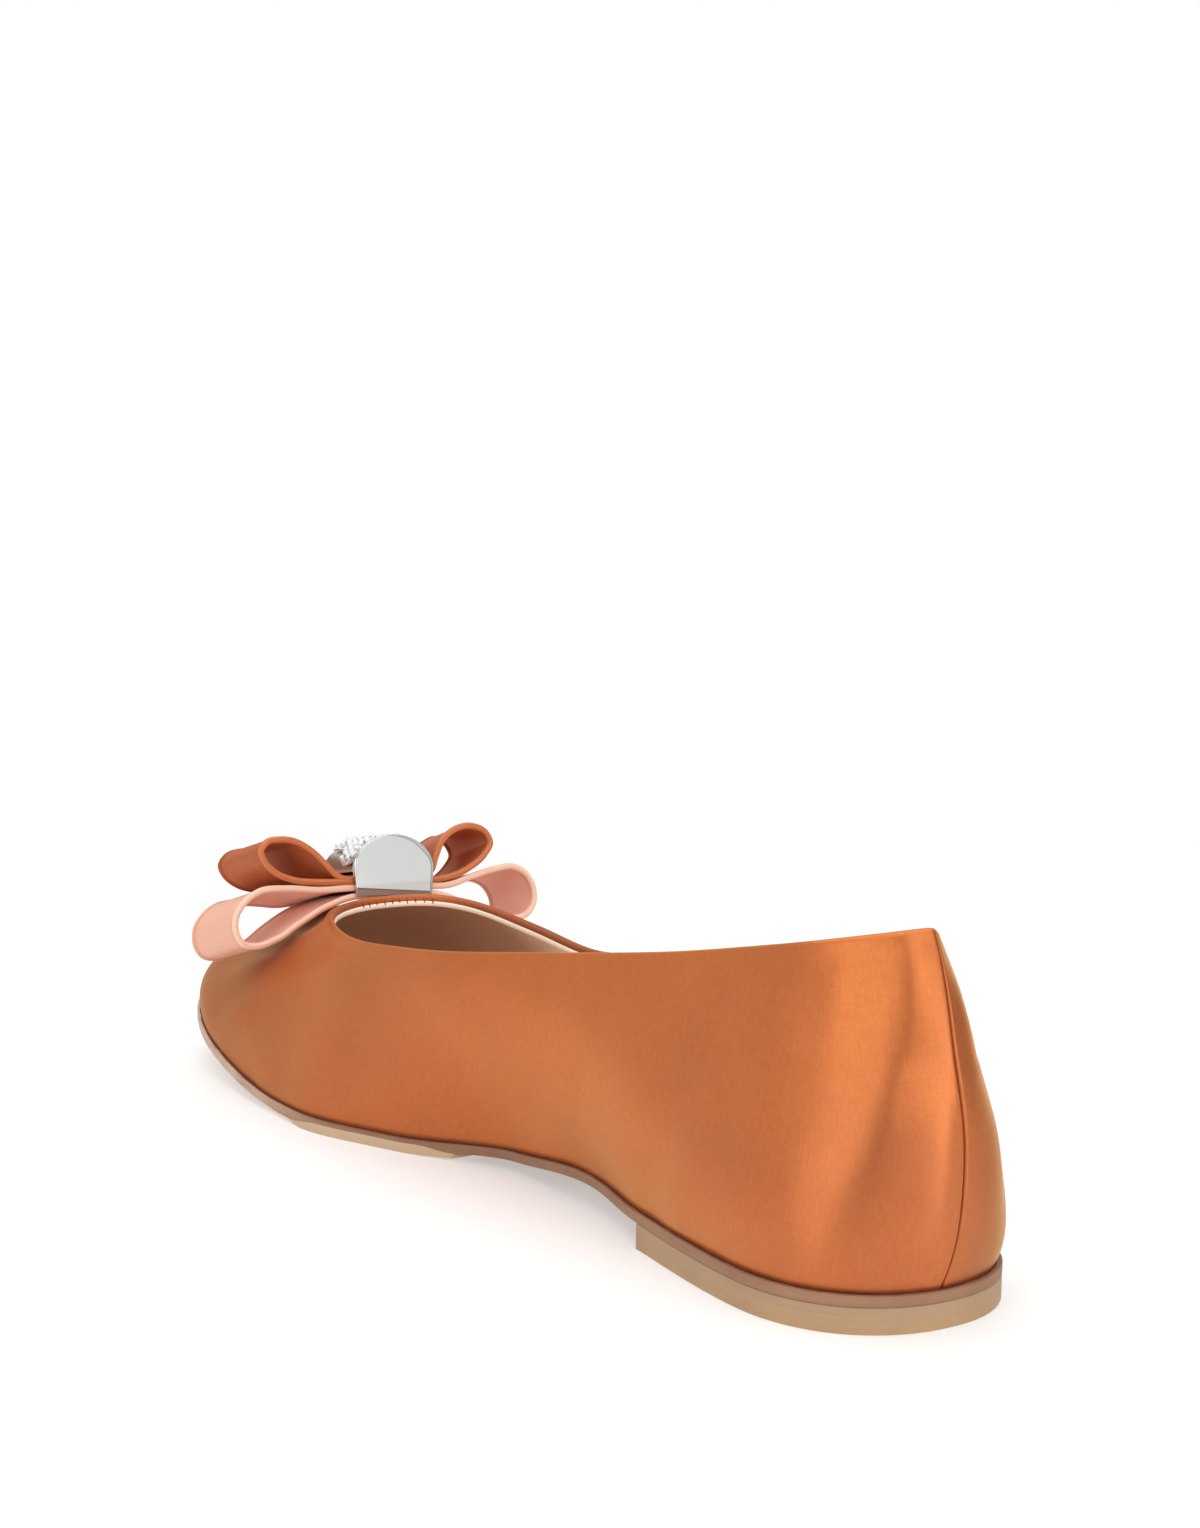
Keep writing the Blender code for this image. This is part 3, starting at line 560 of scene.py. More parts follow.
def topline():
    """The rolled edge round the opening, point for point with the wall's sections: where the wall's
    outer face ends, its direction there, the roll's radius as a vector into the wall, how far the
    roll turns until it points down, there its direction and the side facing the opening, how far
    the roll stands proud, and how far the satin is turned in below it."""
    foot, low, high, top = wall_sections(0.0)
    inside_top = wall_sections(UPPER_WALL)[3]
    end = (1 - ROLL_RADIUS / (3 * np.linalg.norm(top - high, axis=1)))[:, None]
    edge = bezier(foot, low, high, top, end)
    rising = unit(edge - bezier(foot, low, high, top, end - 0.01))
    half = (inside_top - top) / 2
    half -= (half * rising).sum(1)[:, None] * rising
    square = unit(np.cross(neighbours(top), rising)) * THROAT_ROLL
    front = ease(np.clip((top[:, 0] - VAMP_ROLL_START) / VAMP_ROLL_REACH, 0, 1))[:, None]
    into = half * (1 - front) + square * front
    radius = np.linalg.norm(into, axis=1)[:, None]
    inward = into / radius
    edge = edge - inward * THROAT_BEAD * front
    turn = np.arccos(np.clip(-rising[:, 2] / np.hypot(rising[:, 2], inward[:, 2]), -1, 1))[:, None]
    down = rising * np.cos(turn) + inward * np.sin(turn)
    facing = rising * np.sin(turn) - inward * np.cos(turn)
    rolled = edge + into * (1 - np.cos(turn)) + rising * radius * np.sin(turn)
    proud = inward * THROAT_BEAD * front
    turn_in = TURN_IN + (THROAT_TURN_IN - TURN_IN) * front
    return end, edge, rising, into, turn, rolled, down, facing, proud, turn_in


def wall_shares():
    """Heights of the wall's rows, 0 to 1, closer together towards the topline."""
    return 1 - (1 - np.linspace(0, 1, WALL_ROWS)) ** ROW_CROWDING


def satin_rows():
    """Rows round the shoe: turned under at the sole, up the wall, over the topline and down inside."""
    foot, low, high, top = wall_sections(0.0)
    end, edge, rising, into, turn, rolled, down, facing, proud, turn_in = topline()
    rows = [foot + (wall_sections(UPPER_WALL)[0] - foot) * TURNED_UNDER]
    run = 3 * np.linalg.norm(top - high, axis=1)[:, None]
    for v in wall_shares():
        near = np.exp(-((1 - v) * run / BEAD_WIDTH) ** 2)
        rows.append(bezier(foot, low, high, top, v * end) - proud * near)
    radius = np.linalg.norm(into, axis=1)[:, None]
    for share in np.linspace(0, 1, ROLL_STEPS + 1)[1:]:
        angle = turn * share
        rows.append(edge + into * (1 - np.cos(angle)) + rising * radius * np.sin(angle))
    rows += [rolled + down * turn_in * 0.5, rolled + down * turn_in,
             rolled + down * (turn_in + SATIN_END["down"]) - facing * SATIN_END["behind"]]
    return rows


def waves(run_round, run_up):
    """Height of the cloth's shallow waves, fading out towards all its edges."""
    chance = np.random.default_rng(11)
    height = np.zeros(run_up.shape)
    for length in np.geomspace(*WAVE_LENGTHS, SATIN_WAVES):
        slant = chance.uniform(0, np.pi)
        phase = chance.uniform(0, 2 * np.pi)
        run = run_round * np.cos(slant) + run_up * np.sin(slant) * WAVE_STRETCH
        height += WAVE_SLOPE * length / (2 * np.pi) * np.sin(2 * np.pi * run / length + phase)
    for edge in (run_up - WAVE_FREE_FOOT, run_up[-ROLL_STEPS - 4] - run_up, run_round,
                 run_round.max() - run_round):
        height *= ease(np.clip(edge / WAVE_FREE_EDGE, 0, 1))
    return height


def make_satin(material):
    rows = []
    heights = np.concatenate([[0], wall_shares(), np.ones(ROLL_STEPS + 3)])
    for height, row in zip(heights, satin_rows()):
        line = eased(row, float(smooth(SEAM_SWAY, height)))
        length = along_line(line, [0])[1]
        rows.append(along_line(line, strip_columns(length))[0])
    grid = np.array(rows)
    turned = [np.zeros(WALL_ROWS + 1), np.linspace(0, np.pi, ROLL_STEPS + 1)[1:], np.full(3, np.pi)]
    turned = np.concatenate(turned)[:, None]
    fold = seam_depth()[None, :] * np.where(turned > 0, SEAM_TOP_SHARE, 1.0)
    grid[:, :, 0] += fold * np.cos(turned)
    grid[:, :, 2] -= fold * np.sin(turned)
    run_up = np.cumsum(np.linalg.norm(np.diff(grid, axis=0, prepend=grid[:1]), axis=2), axis=0)
    around = np.linalg.norm(np.diff(grid, axis=1, prepend=grid[:, :1]), axis=2)
    run_round = np.cumsum(around, axis=1).mean(0)
    uv = np.stack([np.broadcast_to(run_round, run_up.shape), run_up], 2)
    normal = unit(np.cross(np.gradient(grid, axis=1), np.gradient(grid, axis=0)))
    grid = grid + normal * waves(run_round, run_up)[:, :, None]
    mesh = grid_mesh("upper_satin", place(grid), uv=uv)
    add_piece("upper_satin", mesh, material, "upper")


def make_lining(material, edge_material):
    foot, low, high, top = wall_sections(UPPER_WALL)
    rolled, down, facing, _, turn_in = topline()[5:]
    first = rolled + down * (turn_in + LINING_EDGE * LINING_TOP["down"]) - facing * LINING_TOP["behind"]
    start = 1 - (TURN_IN + LINING_JOIN) / (3 * np.linalg.norm(top - high, axis=1))[:, None]
    rows = [first]
    offset = first - bezier(foot, low, high, top, start)
    for share in np.linspace(0, 1, WALL_ROWS)[1:]:
        left_over = max(0.0, 1 - share / LINING_EASE) ** 2
        rows.append(bezier(foot, low, high, top, (1 - share) * start) + offset * left_over)
    rows.append(foot + (foot - wall_sections(0.0)[0]) * LINING_UNDER)
    grid = np.array([eased(row)[::3] for row in rows])
    mesh = grid_mesh("lining", place(grid[:, ::-1]), close_columns=True)
    add_piece("lining", mesh, material)
    middle = eased(rolled + down * (turn_in + LINING_EDGE * LINING_EDGE_AT["down"])
                   - facing * LINING_EDGE_AT["behind"])[::2]
    across = eased(rolled + facing)[::2] - eased(rolled)[::2]
    along = eased(rolled + down)[::2] - eased(rolled)[::2]
    section = circle_section(LINING_EDGE, 12) * np.array([LINING_EDGE_SHAPE])
    rings = sweep(middle, unit(across), unit(along), section)
    mesh = grid_mesh("lining_edge", place(rings), close_rows=True, close_columns=True)
    add_piece("lining_edge", mesh, edge_material)


def capsule(start, end, radius, sides=6):
    """Vertices and faces of a short thread from start to end."""
    axis = unit(end - start)
    slanted = [0.3, 0.5, 0.81]
    side = unit(np.cross(axis, slanted))
    other = np.cross(axis, side)
    turn = circle_section(1.0, sides)
    spokes = turn[:, :1] * side + turn[:, 1:] * other
    vertices = [start - axis * radius]
    for along, share in PLEAT_SHAPE:
        vertices += list(start + (end - start) * along + radius * share * spokes)
    vertices.append(end + axis * radius)
    faces = [(0, 1 + (k + 1) % sides, 1 + k) for k in range(sides)]
    faces += [tuple(1 + i for i in face) for face in grid_faces(len(PLEAT_SHAPE), sides, False, True)]
    last = len(vertices) - 1
    faces += [(last, last - sides + k, last - sides + (k + 1) % sides) for k in range(sides)]
    return vertices, faces


def merged(solids):
    """Vertices and faces of several closed solids taken together."""
    vertices = []
    faces = []
    for part_vertices, part_faces in solids:
        shift = len(vertices)
        vertices += list(part_vertices)
        faces += [tuple(i + shift for i in face) for face in part_faces]
    return np.array(vertices), faces


def make_pleats(material):
    """Small pleats where the satin turns in round the throat, seen as short dark stitches."""
    rolled, down, facing, _, turn_in = topline()[5:]
    over = eased(rolled + down * (turn_in - PLEAT_LENGTH * PLEAT_OVER["share"])
                 + facing * PLEAT_OVER["out"])
    under = eased(rolled + down * (turn_in + PLEAT_LENGTH * PLEAT_UNDER["share"])
                  + facing * PLEAT_UNDER["out"])
    run = np.linspace(0, 1, len(over))
    length = along_line(over, [0])[1]
    middle = run[over[:, 0].argmax()]
    solids = []
    for number, at in enumerate(np.arange(*PLEAT_REACH, PLEAT_SPACING)):
        t = middle + (at + PLEAT_SHIFT * np.sin(5.0 * number)) / length
        start, end = [np.array([np.interp(t, run, line[:, i]) for i in range(3)])
                      for line in (over, under)]
        end = end + (end - start) * PLEAT_STRETCH * np.sin(2.3 * number)
        solids.append(capsule(start, end, PLEAT_RADIUS))
    vertices, faces = merged(solids)
    mesh = new_mesh("throat_pleats", place(vertices), faces)
    add_piece("throat_pleats", mesh, material, crease=60)


# The bottom ------------------------------------------------------------------------------
def outline_in(inset):
    """Inner and outer side of the sole's outline, heel to toe, set in all round."""
    points = ring(stations()[0], edge_y)
    points = points - outward(points) * inset
    half = len(points) // 2 + 1
    return points[:half], np.roll(points[::-1], 1, 0)[:half]


def cut(sides, x):
    """Both sides of an outline read off at the given distances along the shoe."""
    return tuple(np.stack([x, np.interp(x, side[:, 0], side[:, 1])], 1) for side in sides)


def loop_of(sides):
    """A closed ring from the two sides of an outline, without doubled end points."""
    inner, outer = sides
    start = 1 if np.allclose(outer[0], inner[0], atol=1e-6) else 0
    stop = len(outer) - (1 if np.allclose(outer[-1], inner[-1], atol=1e-6) else 0)
    return np.concatenate([inner, outer[start:stop][::-1]]), start, stop


def slab(name, sides, low, high, profile):
    """A layer of the bottom with shaped edges. profile: inset from the outline, and height from 0
    (low) to 1 (high), from the underside round the edge to the upper face."""
    points, start, stop = loop_of(sides)
    normal = outward(points)
    count = len(points)
    rings = []
    for inset, share in profile:
        plan = points - normal * inset
        z = low(points[:, 0]) * (1 - share) + high(points[:, 0]) * share
        rings.append(np.c_[plan, z])
    vertices = np.concatenate(rings)
    faces = grid_faces(len(rings), count, False, True)
    inner_count = len(sides[0])

    def outer_index(k):
        """Place in the ring of the outer side's point at station k."""
        if k < start:
            return 0
        if k >= stop:
            return inner_count - 1
        return inner_count + (stop - 1 - k)

    for base, flip in ((0, False), ((len(rings) - 1) * count, True)):
        for k in range(inner_count - 1):
            face = [k, k + 1, outer_index(k + 1) % count, outer_index(k) % count]
            face = list(dict.fromkeys(face))
            if len(face) > 2:
                face = [base + i for i in (face[::-1] if flip else face)]
                faces.append(tuple(face))
    return new_mesh(name, place(vertices), faces)


def rounded_edge(radius, thickness, steps=4):
    """Profile of a slab whose two edges are rounded."""
    turn = np.linspace(0, np.pi / 2, steps)
    under = [(radius * (1 - np.sin(t)), radius * (1 - np.cos(t)) / thickness) for t in turn]
    return under + [(inset, 1 - share) for inset, share in under[::-1]]


def make_bottom(sole_material, heel_material, pad_material, sock_material, shade_cord_material):
    def above(height):
        return lambda x: sole_z(x) + height

    mesh = slab("outsole", outline_in(0.0), above(0), above(SOLE_THICKNESS),
                rounded_edge(SOLE_ROUNDING, SOLE_THICKNESS))
    add_piece("outsole_leather", mesh, sole_material, "outsole", LAYER_CREASE)
    heel_side = outline_in(HEEL_INSET)
    x = heel_side[0][:, 0]
    x = np.append(x[x < HEEL_BREAST - 1], HEEL_BREAST)
    mesh = slab("heel", cut(heel_side, x), lambda x: 0 * x, above(HEEL_PRESSED),
                rounded_edge(HEEL_ROUNDING, HEEL_HEIGHT))
    add_piece("heel_block", mesh, heel_material, "heel", LAYER_CREASE)
    turn = np.sin(np.linspace(0, np.pi / 2, 40))
    x = np.append(np.linspace(PAD_START, PAD_ROUND, 30)[:-1], PAD_ROUND + (PAD_END - PAD_ROUND) * turn)
    inner, outer = cut(outline_in(-PAD_OVERHANG), x)
    middle = (inner + outer) / 2
    narrow = arc((x - PAD_ROUND) / (PAD_END - PAD_ROUND), PAD_ROUNDNESS)[:, None]
    sides = (middle + (inner - middle) * narrow, middle + (outer - middle) * narrow)
    mesh = slab("pad", sides, lambda x: sole_z(x) - (GAP + PAD_THICKNESS) * smooth(PAD_SKIVE, x),
                lambda x: sole_z(x) + smooth(PAD_LAP, x), rounded_edge(PAD_ROUNDING, PAD_THICKNESS + GAP))
    add_piece("tread_pad", mesh, pad_material, "forefoot_pad", LAYER_CREASE)
    mesh = slab("sock", outline_in(UPPER_INSET + UPPER_WALL + SOCK_CLEARANCE), above(SOCK_BASE),
                above(SOCK_TOP), rounded_edge(SOCK_ROUNDING, SOCK_TOP - SOCK_BASE))
    add_piece("sock", mesh, sock_material, "insole", LAYER_CREASE)
    # a dark cord of painted shade along the groove where upper and sole meet
    foot = eased(wall_sections(0.0)[0])[::2]
    tangent = unit(np.gradient(foot, axis=0))
    upright = np.array([[0, 0, 1.0]]) * np.ones((len(foot), 1))
    across = unit(np.cross(upright, tangent))
    quick, slow = [np.sin(np.arange(len(foot)) * beat) for beat in FEATHER_BEATS]
    ripple = FEATHER_RIPPLE * quick * slow
    foot = foot + upright * (ripple[:, None] - FEATHER_DROP)
    radius = smooth(FEATHER_RADIUS, foot[:, 0])[:, None]
    rings = sweep(foot, across * radius, upright * radius, circle_section(1.0, 8))
    mesh = grid_mesh("groove_shade_cord", place(rings), close_rows=True, close_columns=True)
    add_piece("groove_shade_cord", mesh, shade_cord_material)


# The bow ---------------------------------------------------------------------------------
def bow_matrix():
    """Frame of the bow: local X towards the toe, Y to the inner side, Z up from the vamp."""
    turn = Matrix.Rotation(np.radians(BOW_TILT), 4, "Y") @ Matrix.Rotation(np.radians(BOW_ROLL), 4, "X")
    return Matrix.Translation(place(BOW_AT)) @ turn


def in_bow(points):
    """Bow millimetres to the frame's metres."""
    matrix = np.array(bow_matrix())
    points = np.asarray(points, float)
    return points * MM @ matrix[:3, :3].T + matrix[:3, 3]


def curve_through(points, per_row):
    """Closed smooth curve through points, with per_row samples for each of them."""
    points = np.asarray(points, float)
    chord = np.linalg.norm(np.roll(points, -1, 0) - points, axis=1)
    before = np.roll(chord, 1)
    arrive = (points - np.roll(points, 1, 0)) / before[:, None]
    leave = (np.roll(points, -1, 0) - points) / chord[:, None]
    tangent = (arrive * chord[:, None] + leave * before[:, None]) / (chord + before)[:, None]
    samples = []
    for t in np.arange(per_row) / per_row:
        a, b = (1 + 2 * t) * (1 - t) ** 2, t * (1 - t) ** 2
        c, d = t * t * (3 - 2 * t), t * t * (t - 1)
        samples.append(a * points + b * chord[:, None] * tangent
                       + c * np.roll(points, -1, 0) + d * chord[:, None] * np.roll(tangent, -1, 0))
    return np.stack(samples, 1).reshape(-1, 2)


def ribbon_section(width):
    """Half thickness across a ribbon, from its back edge to its front edge: rounded, folded rims."""
    rim = RIM_RADIUS * (1 - np.cos(np.linspace(0, np.pi / 2, 7)))
    fade = RIM_RADIUS + np.array(RIM_POINTS)
    middle = np.linspace(RIM_RADIUS + FACE_MARGIN, width - RIM_RADIUS - FACE_MARGIN, FACE_SAMPLES)
    at = np.concatenate([rim, fade, middle, (width - fade)[::-1], (width - rim)[::-1]])
    from_edge = np.minimum(at, width - at)
    inside = np.clip(from_edge / RIM_RADIUS, 0, 1)
    bead = RIM_RADIUS * np.sqrt(np.maximum(0, 1 - (1 - inside) ** 2))
    behind = from_edge - RIM_RADIUS
    flat = RIBBON_HALF + (RIM_RADIUS - RIBBON_HALF) * np.exp(-(behind / RIM_FADE) ** 2)
    flat -= RIM_GROOVE * np.exp(-((behind - GROOVE_AT) / GROOVE_WIDTH) ** 2)
    return at, np.where(from_edge < RIM_RADIUS, bead, flat)


def ribbon_path(left, right, strands):
    across_clasp = STRAND_HALF * np.array([-1.0, -0.5, 0.5, 1.0])
    path = [(out, strands[0]) for out in across_clasp]
    path += list(zip(left["out"], left["up"]))
    path += [(out, strands[1]) for out in across_clasp[::-1]]
    path += [(-out, up) for out, up in zip(right["out"][::-1], right["up"][::-1])]
    return curve_through(path, RIBBON_POINTS_PER_ROW)


def make_ribbon(name, material, node, left, right, strands, pinch, dip=None, tuck=None):
    """A ribbon folded to two loops. pinch lowers the far edge of its upper strand, dip the near edge
    of that strand, and tuck the near edge of its lower strand."""
    centre = ribbon_path(left, right, strands)
    upper_strand = np.clip((centre[:, 1] - strands[1]) / (strands[0] - strands[1]), 0, 1)
    lower_strand = np.arange(len(centre)) > centre[:, 0].argmax()
    far = upper_strand * smooth(pinch, centre[:, 0])
    near = 0 * far
    for table, strand in ((dip, upper_strand), (tuck, lower_strand)):
        if table:
            near = near + strand * smooth(table, centre[:, 0])
    reach = np.abs(centre[:, 0])
    width = smooth(RIBBON_SPREAD, reach)
    settled = np.minimum(reach / RIBBON_SETTLE, 1) ** SETTLE_BEND
    share, half = ribbon_section(width.mean())
    share = share / width.mean()
    surface = []
    for across in share:
        side = centre[:, 0] * (1 + RIBBON_FLARE * across) + RIBBON_SWAY * across * settled
        up = centre[:, 1] - RIBBON_DROOP * across * settled - far * across - near * (1 - across) ** 2
        surface.append(np.stack([across * width, side, up], 1))
    surface = np.array(surface)
    forward = np.gradient(surface, axis=0)
    normal = unit(np.cross(neighbours(surface, 1), forward))
    outer = surface + normal * half[:, None, None]
    inner = surface - normal * half[:, None, None]
    section = np.concatenate([outer, inner[-2:0:-1]])
    run = np.cumsum(np.linalg.norm(np.diff(surface, axis=1, prepend=surface[:, :1]), axis=2), axis=1)
    across_mm = np.concatenate([share, 2 - share[-2:0:-1]]) * CLOTH_WIDTH
    run = np.concatenate([run, run[-2:0:-1]])
    uv = np.stack([run, np.broadcast_to(across_mm[:, None], run.shape)], 2)
    mesh = grid_mesh(name, in_bow(section), close_rows=True, close_columns=True, uv=uv)
    add_piece(name, mesh, material, node)


def clasp_arch(angle, grow):
    """Point of the clasp's arch, seen from the heel; the angle is from the top to the left."""
    return ((CLASP_HALF_WIDTH + grow) * np.sin(angle),
            CLASP_SHOULDER + (CLASP_TOP - CLASP_SHOULDER + grow) * np.cos(angle))


def clasp_outline(grow, foot, points=48):
    arch = [clasp_arch(a, grow) for a in np.linspace(np.pi / 2, -np.pi / 2, points)]
    ankle = CLASP_FOOT_BORDER[0]
    low = CLASP_FOOT_HALF_WIDTH + grow
    at_ankle = low + (CLASP_HALF_WIDTH - CLASP_FOOT_HALF_WIDTH) * ankle / (CLASP_SHOULDER - foot)
    left = [(low, foot), (at_ankle, foot + ankle)]
    return np.array(left + arch + [(-x, y) for x, y in left[::-1]])


def at_depth(depth, outline):
    """An outline seen from the heel, set at a depth in bow millimetres."""
    return np.c_[depth + np.zeros(len(outline)), outline]


def closed(rings, flip=False):
    """Vertices and faces of a solid through rings of points, with a face over each end."""
    count = len(rings[0])
    total = count * len(rings)
    ends = [tuple(range(count)), tuple(range(total - 1, total - count - 1, -1))]
    faces = grid_faces(len(rings), count, False, True)
    return np.concatenate(rings), faces + [end[::-1] if flip else end for end in ends]


def plate(outline, back, front, bevel, face=None, fall=0.0):
    """A plate with rounded edges between two depths, as vertices and faces in bow millimetres.
    face is the edge of a raised face on its back, and fall how far the border round it falls away."""
    normal = outward(outline)
    turn = np.linspace(0, np.pi / 2, 10)
    rounded = [(bevel * (1 - np.sin(t)), bevel * (1 - np.cos(t))) for t in turn]
    rings = []
    if face is not None:
        border = outline + normal * bevel - face
        for share, drop in ((0, 0), BORDER_SLOPE):
            rings.append(at_depth(back + fall * drop, face + border * share))
    rings += [at_depth(back + fall + depth, outline + normal * inset) for inset, depth in rounded]
    rings += [at_depth(front - depth, outline + normal * inset) for inset, depth in rounded[::-1]]
    return closed(rings)


def bent_strip(grow, thickness, reach, depths, taper=1.0):
    """Part of the arch as a bent strip. reach gives its half angle at each depth; at its two ends
    the strip's thickness is tapered."""
    rings = []
    for i, depth in enumerate(depths):
        angles = np.radians(np.linspace(reach(depth), -reach(depth), 60))
        height = thickness * (taper if i in (0, len(depths) - 1) else 1)
        over = [clasp_arch(a, grow + height) for a in angles]
        under = [clasp_arch(a, grow) for a in angles[::-1]]
        rings.append(at_depth(depth, over + under))
    grid = np.array(rings)
    rows, columns = grid.shape[:2]
    faces = grid_faces(rows, columns, False, True)
    half = columns // 2
    for base, flip in ((0, True), ((rows - 1) * columns, False)):
        for k in range(half - 1):
            face = [base + k, base + k + 1, base + columns - 2 - k, base + columns - 1 - k]
            faces.append(tuple(face[::-1] if flip else face))
    return grid.reshape(-1, 3), faces


def in_one(name, solids, material, node, crease):
    """Several closed solids in bow millimetres as one piece."""
    vertices, faces = merged(solids)
    mesh = new_mesh(name, in_bow(vertices), faces)
    add_piece(name, mesh, material, node, crease)


def make_clasp(material, face_material, shade_line_material):
    back = -CLASP_WALL - GAP
    front = CLASP_DEPTH + GAP
    hood = -CLASP_STEP
    opening_angle = np.degrees(np.arccos(np.clip(
        (CLASP_SIDE_OPENING - CLASP_SHOULDER) / (CLASP_TOP - CLASP_SHOULDER), -1, 1)))
    outline = clasp_outline(0.0, CLASP_FOOT)
    share = np.linspace(0, 1, len(outline))
    width = smooth(CLASP_BORDER, share)
    fall = smooth(CLASP_BORDER, share, "fall")
    face = outline + outward(outline) * width[:, None]
    left_height, right_height = CLASP_FOOT_BORDER
    for foot, inwards, height in ((0, -1, left_height - CLASP_FACE_RISE), (-1, 1, right_height)):
        face[foot] = outline[foot] + np.array([inwards * width[foot], height])
    # the raised face takes the lighter copy of the metal, border and hood the darker one: painted light
    # and painted shade
    polished = plate(face, back - CLASP_FACE, back + CLASP_FACE, CLASP_FACE / 2)
    in_one("clasp_face", [polished], face_material, None, CLASP_CREASE)
    # a thin dark tube round the raised face: painted shade at its edge
    line = at_depth(back, face)
    line = np.concatenate([line[CLASP_LINE:], line[:1]])
    steps = [np.linspace(a, b, 24, endpoint=False) for a, b in zip(line[-3:-1], line[-2:])]
    line = np.concatenate([line[:-3], *steps, line[-1:]])
    tangent = unit(np.gradient(line, axis=0))
    depth = np.array([[1.0, 0, 0]]) * np.ones((len(line), 1))
    rings = sweep(line, unit(np.cross(depth, tangent)), depth, circle_section(CLASP_LINE_RADIUS, 6))
    mesh = grid_mesh("clasp_shade_line", in_bow(rings), close_columns=True)
    add_piece("clasp_shade_line", mesh, shade_line_material)
    solids = [
        plate(outline, back, back + CLASP_WALL, CLASP_BEVEL, face, fall),
        plate(clasp_outline(hood, CLASP_FOOT), front, front + CLASP_WALL, CLASP_BEVEL),
        bent_strip(hood - CLASP_WALL, CLASP_WALL, lambda depth: opening_angle,
                   np.linspace(back + CLASP_WALL / 2, front + CLASP_WALL / 2, 4)),
    ]
    in_one("clasp_body", solids, material, "bow_clasp", CLASP_CREASE)


def stud(centre, side, along, up, spin, size):
    """A cut stud: two rows of facets round a flat table."""
    rings = []
    for radius, height, shift in STUD_SHAPE:
        turn = (np.arange(STUD_FACETS) + spin + shift) / STUD_FACETS * 2 * np.pi
        rings.append(centre + size * STUD_RADIUS * radius * (np.cos(turn)[:, None] * side
                                                             + np.sin(turn)[:, None] * along)
                     + STUD_HEIGHT * height * up)
    return closed(rings, flip=True)


def make_cap(material):
    """Curved cap with staggered rows of cut studs, close together."""
    grow = GAP - CLASP_STEP
    back = CAP_MARGIN
    front = CLASP_DEPTH - CAP_MARGIN / 2
    even = np.linspace(back + CAP_ROUNDING, front - CAP_ROUNDING, CAP_STATIONS)
    depths = np.concatenate([[back], even, [front]])
    solids = [bent_strip(grow, CAP_THICKNESS, lambda depth: smooth(CAP_REACH, depth), depths, CAP_TAPER)]
    chance = np.random.default_rng(5)
    rows = int((front - back - 2 * STUD_RADIUS) / (STUD_PITCH * ROW_PITCH)) + 1
    for row, depth in enumerate(np.linspace(back + STUD_RADIUS, front - STUD_RADIUS, rows)):
        turn = np.radians(np.linspace(-1, 1, 400) * smooth(CAP_REACH, depth))
        arch = np.array([clasp_arch(a, grow + CAP_THICKNESS) for a in turn])
        run = run_along(arch)
        length = run[-1] - ROW_MARGIN * STUD_RADIUS
        count = int(length / STUD_PITCH) + 1
        count -= (count + row) % 2
        for at in run[-1] / 2 + STUD_PITCH * (np.arange(count) - (count - 1) / 2):
            place_on = np.interp([at, at + 0.05], run, turn)
            here, near = [np.array([depth, *clasp_arch(a, grow + CAP_THICKNESS)]) for a in place_on]
            side = unit(near - here)
            up = np.cross([1.0, 0, 0], side)
            up = up if up @ np.array([0, here[1], here[2]]) > 0 else -up
            up = unit(up + chance.normal(0, STUD_TILT, 3))
            side = unit(side - up * (side @ up))
            size = chance.uniform(*STUD_SIZES)
            solids.append(stud(here, side, np.cross(up, side), up, chance.uniform(0, 1), size))
    in_one("studded_cap", solids, material, "clasp_cap", STUD_CREASE)


# Materials -------------------------------------------------------------------------------
WHITE = (1, 1, 1, 1)
BLACK = (0, 0, 0, 1)
THREADS = ((2.1, 0.35, 1.0), (0.4, 2.3, 1.0))      # warp and weft, for each mm of cloth
THREAD_TINT = (-0.1, 0.36)
TOE_SHADE = (0.02, 0.125, 0.0, 0.75)      # painted shade on the upper towards the toe: metres from, to, and shares
# painted shade low on the outer side of the heel: its direction, then from, to and shares along it
LOW_OUTSIDE = (0, -1.0, -0.25)
HEEL_SHADE = (-0.005, 0.009, 0.0, 0.8)
ROUGHENS = (-0.07, 0.06)     # the satin's roughness rises between these, in metres along the shoe
LINING_LIGHT_SPAN = (0.058, 0.026)  # and the lining is painted paler towards the back, as painted light
HOOD_SHADE_AT = (2.2, 3.4)    # the hood's darker grey, painted shade, begins this far behind the bow's middle
FOOT_METALLIC = 0.35


def colour(red, green, blue):
    """Screen colour, 0 to 255, to the linear values that the shader takes."""
    value = np.array([red, green, blue]) / 255.0
    linear = np.where(value <= 0.04045, value / 12.92, ((value + 0.055) / 1.055) ** 2.4)
    return (*[float(v) for v in linear], 1.0)


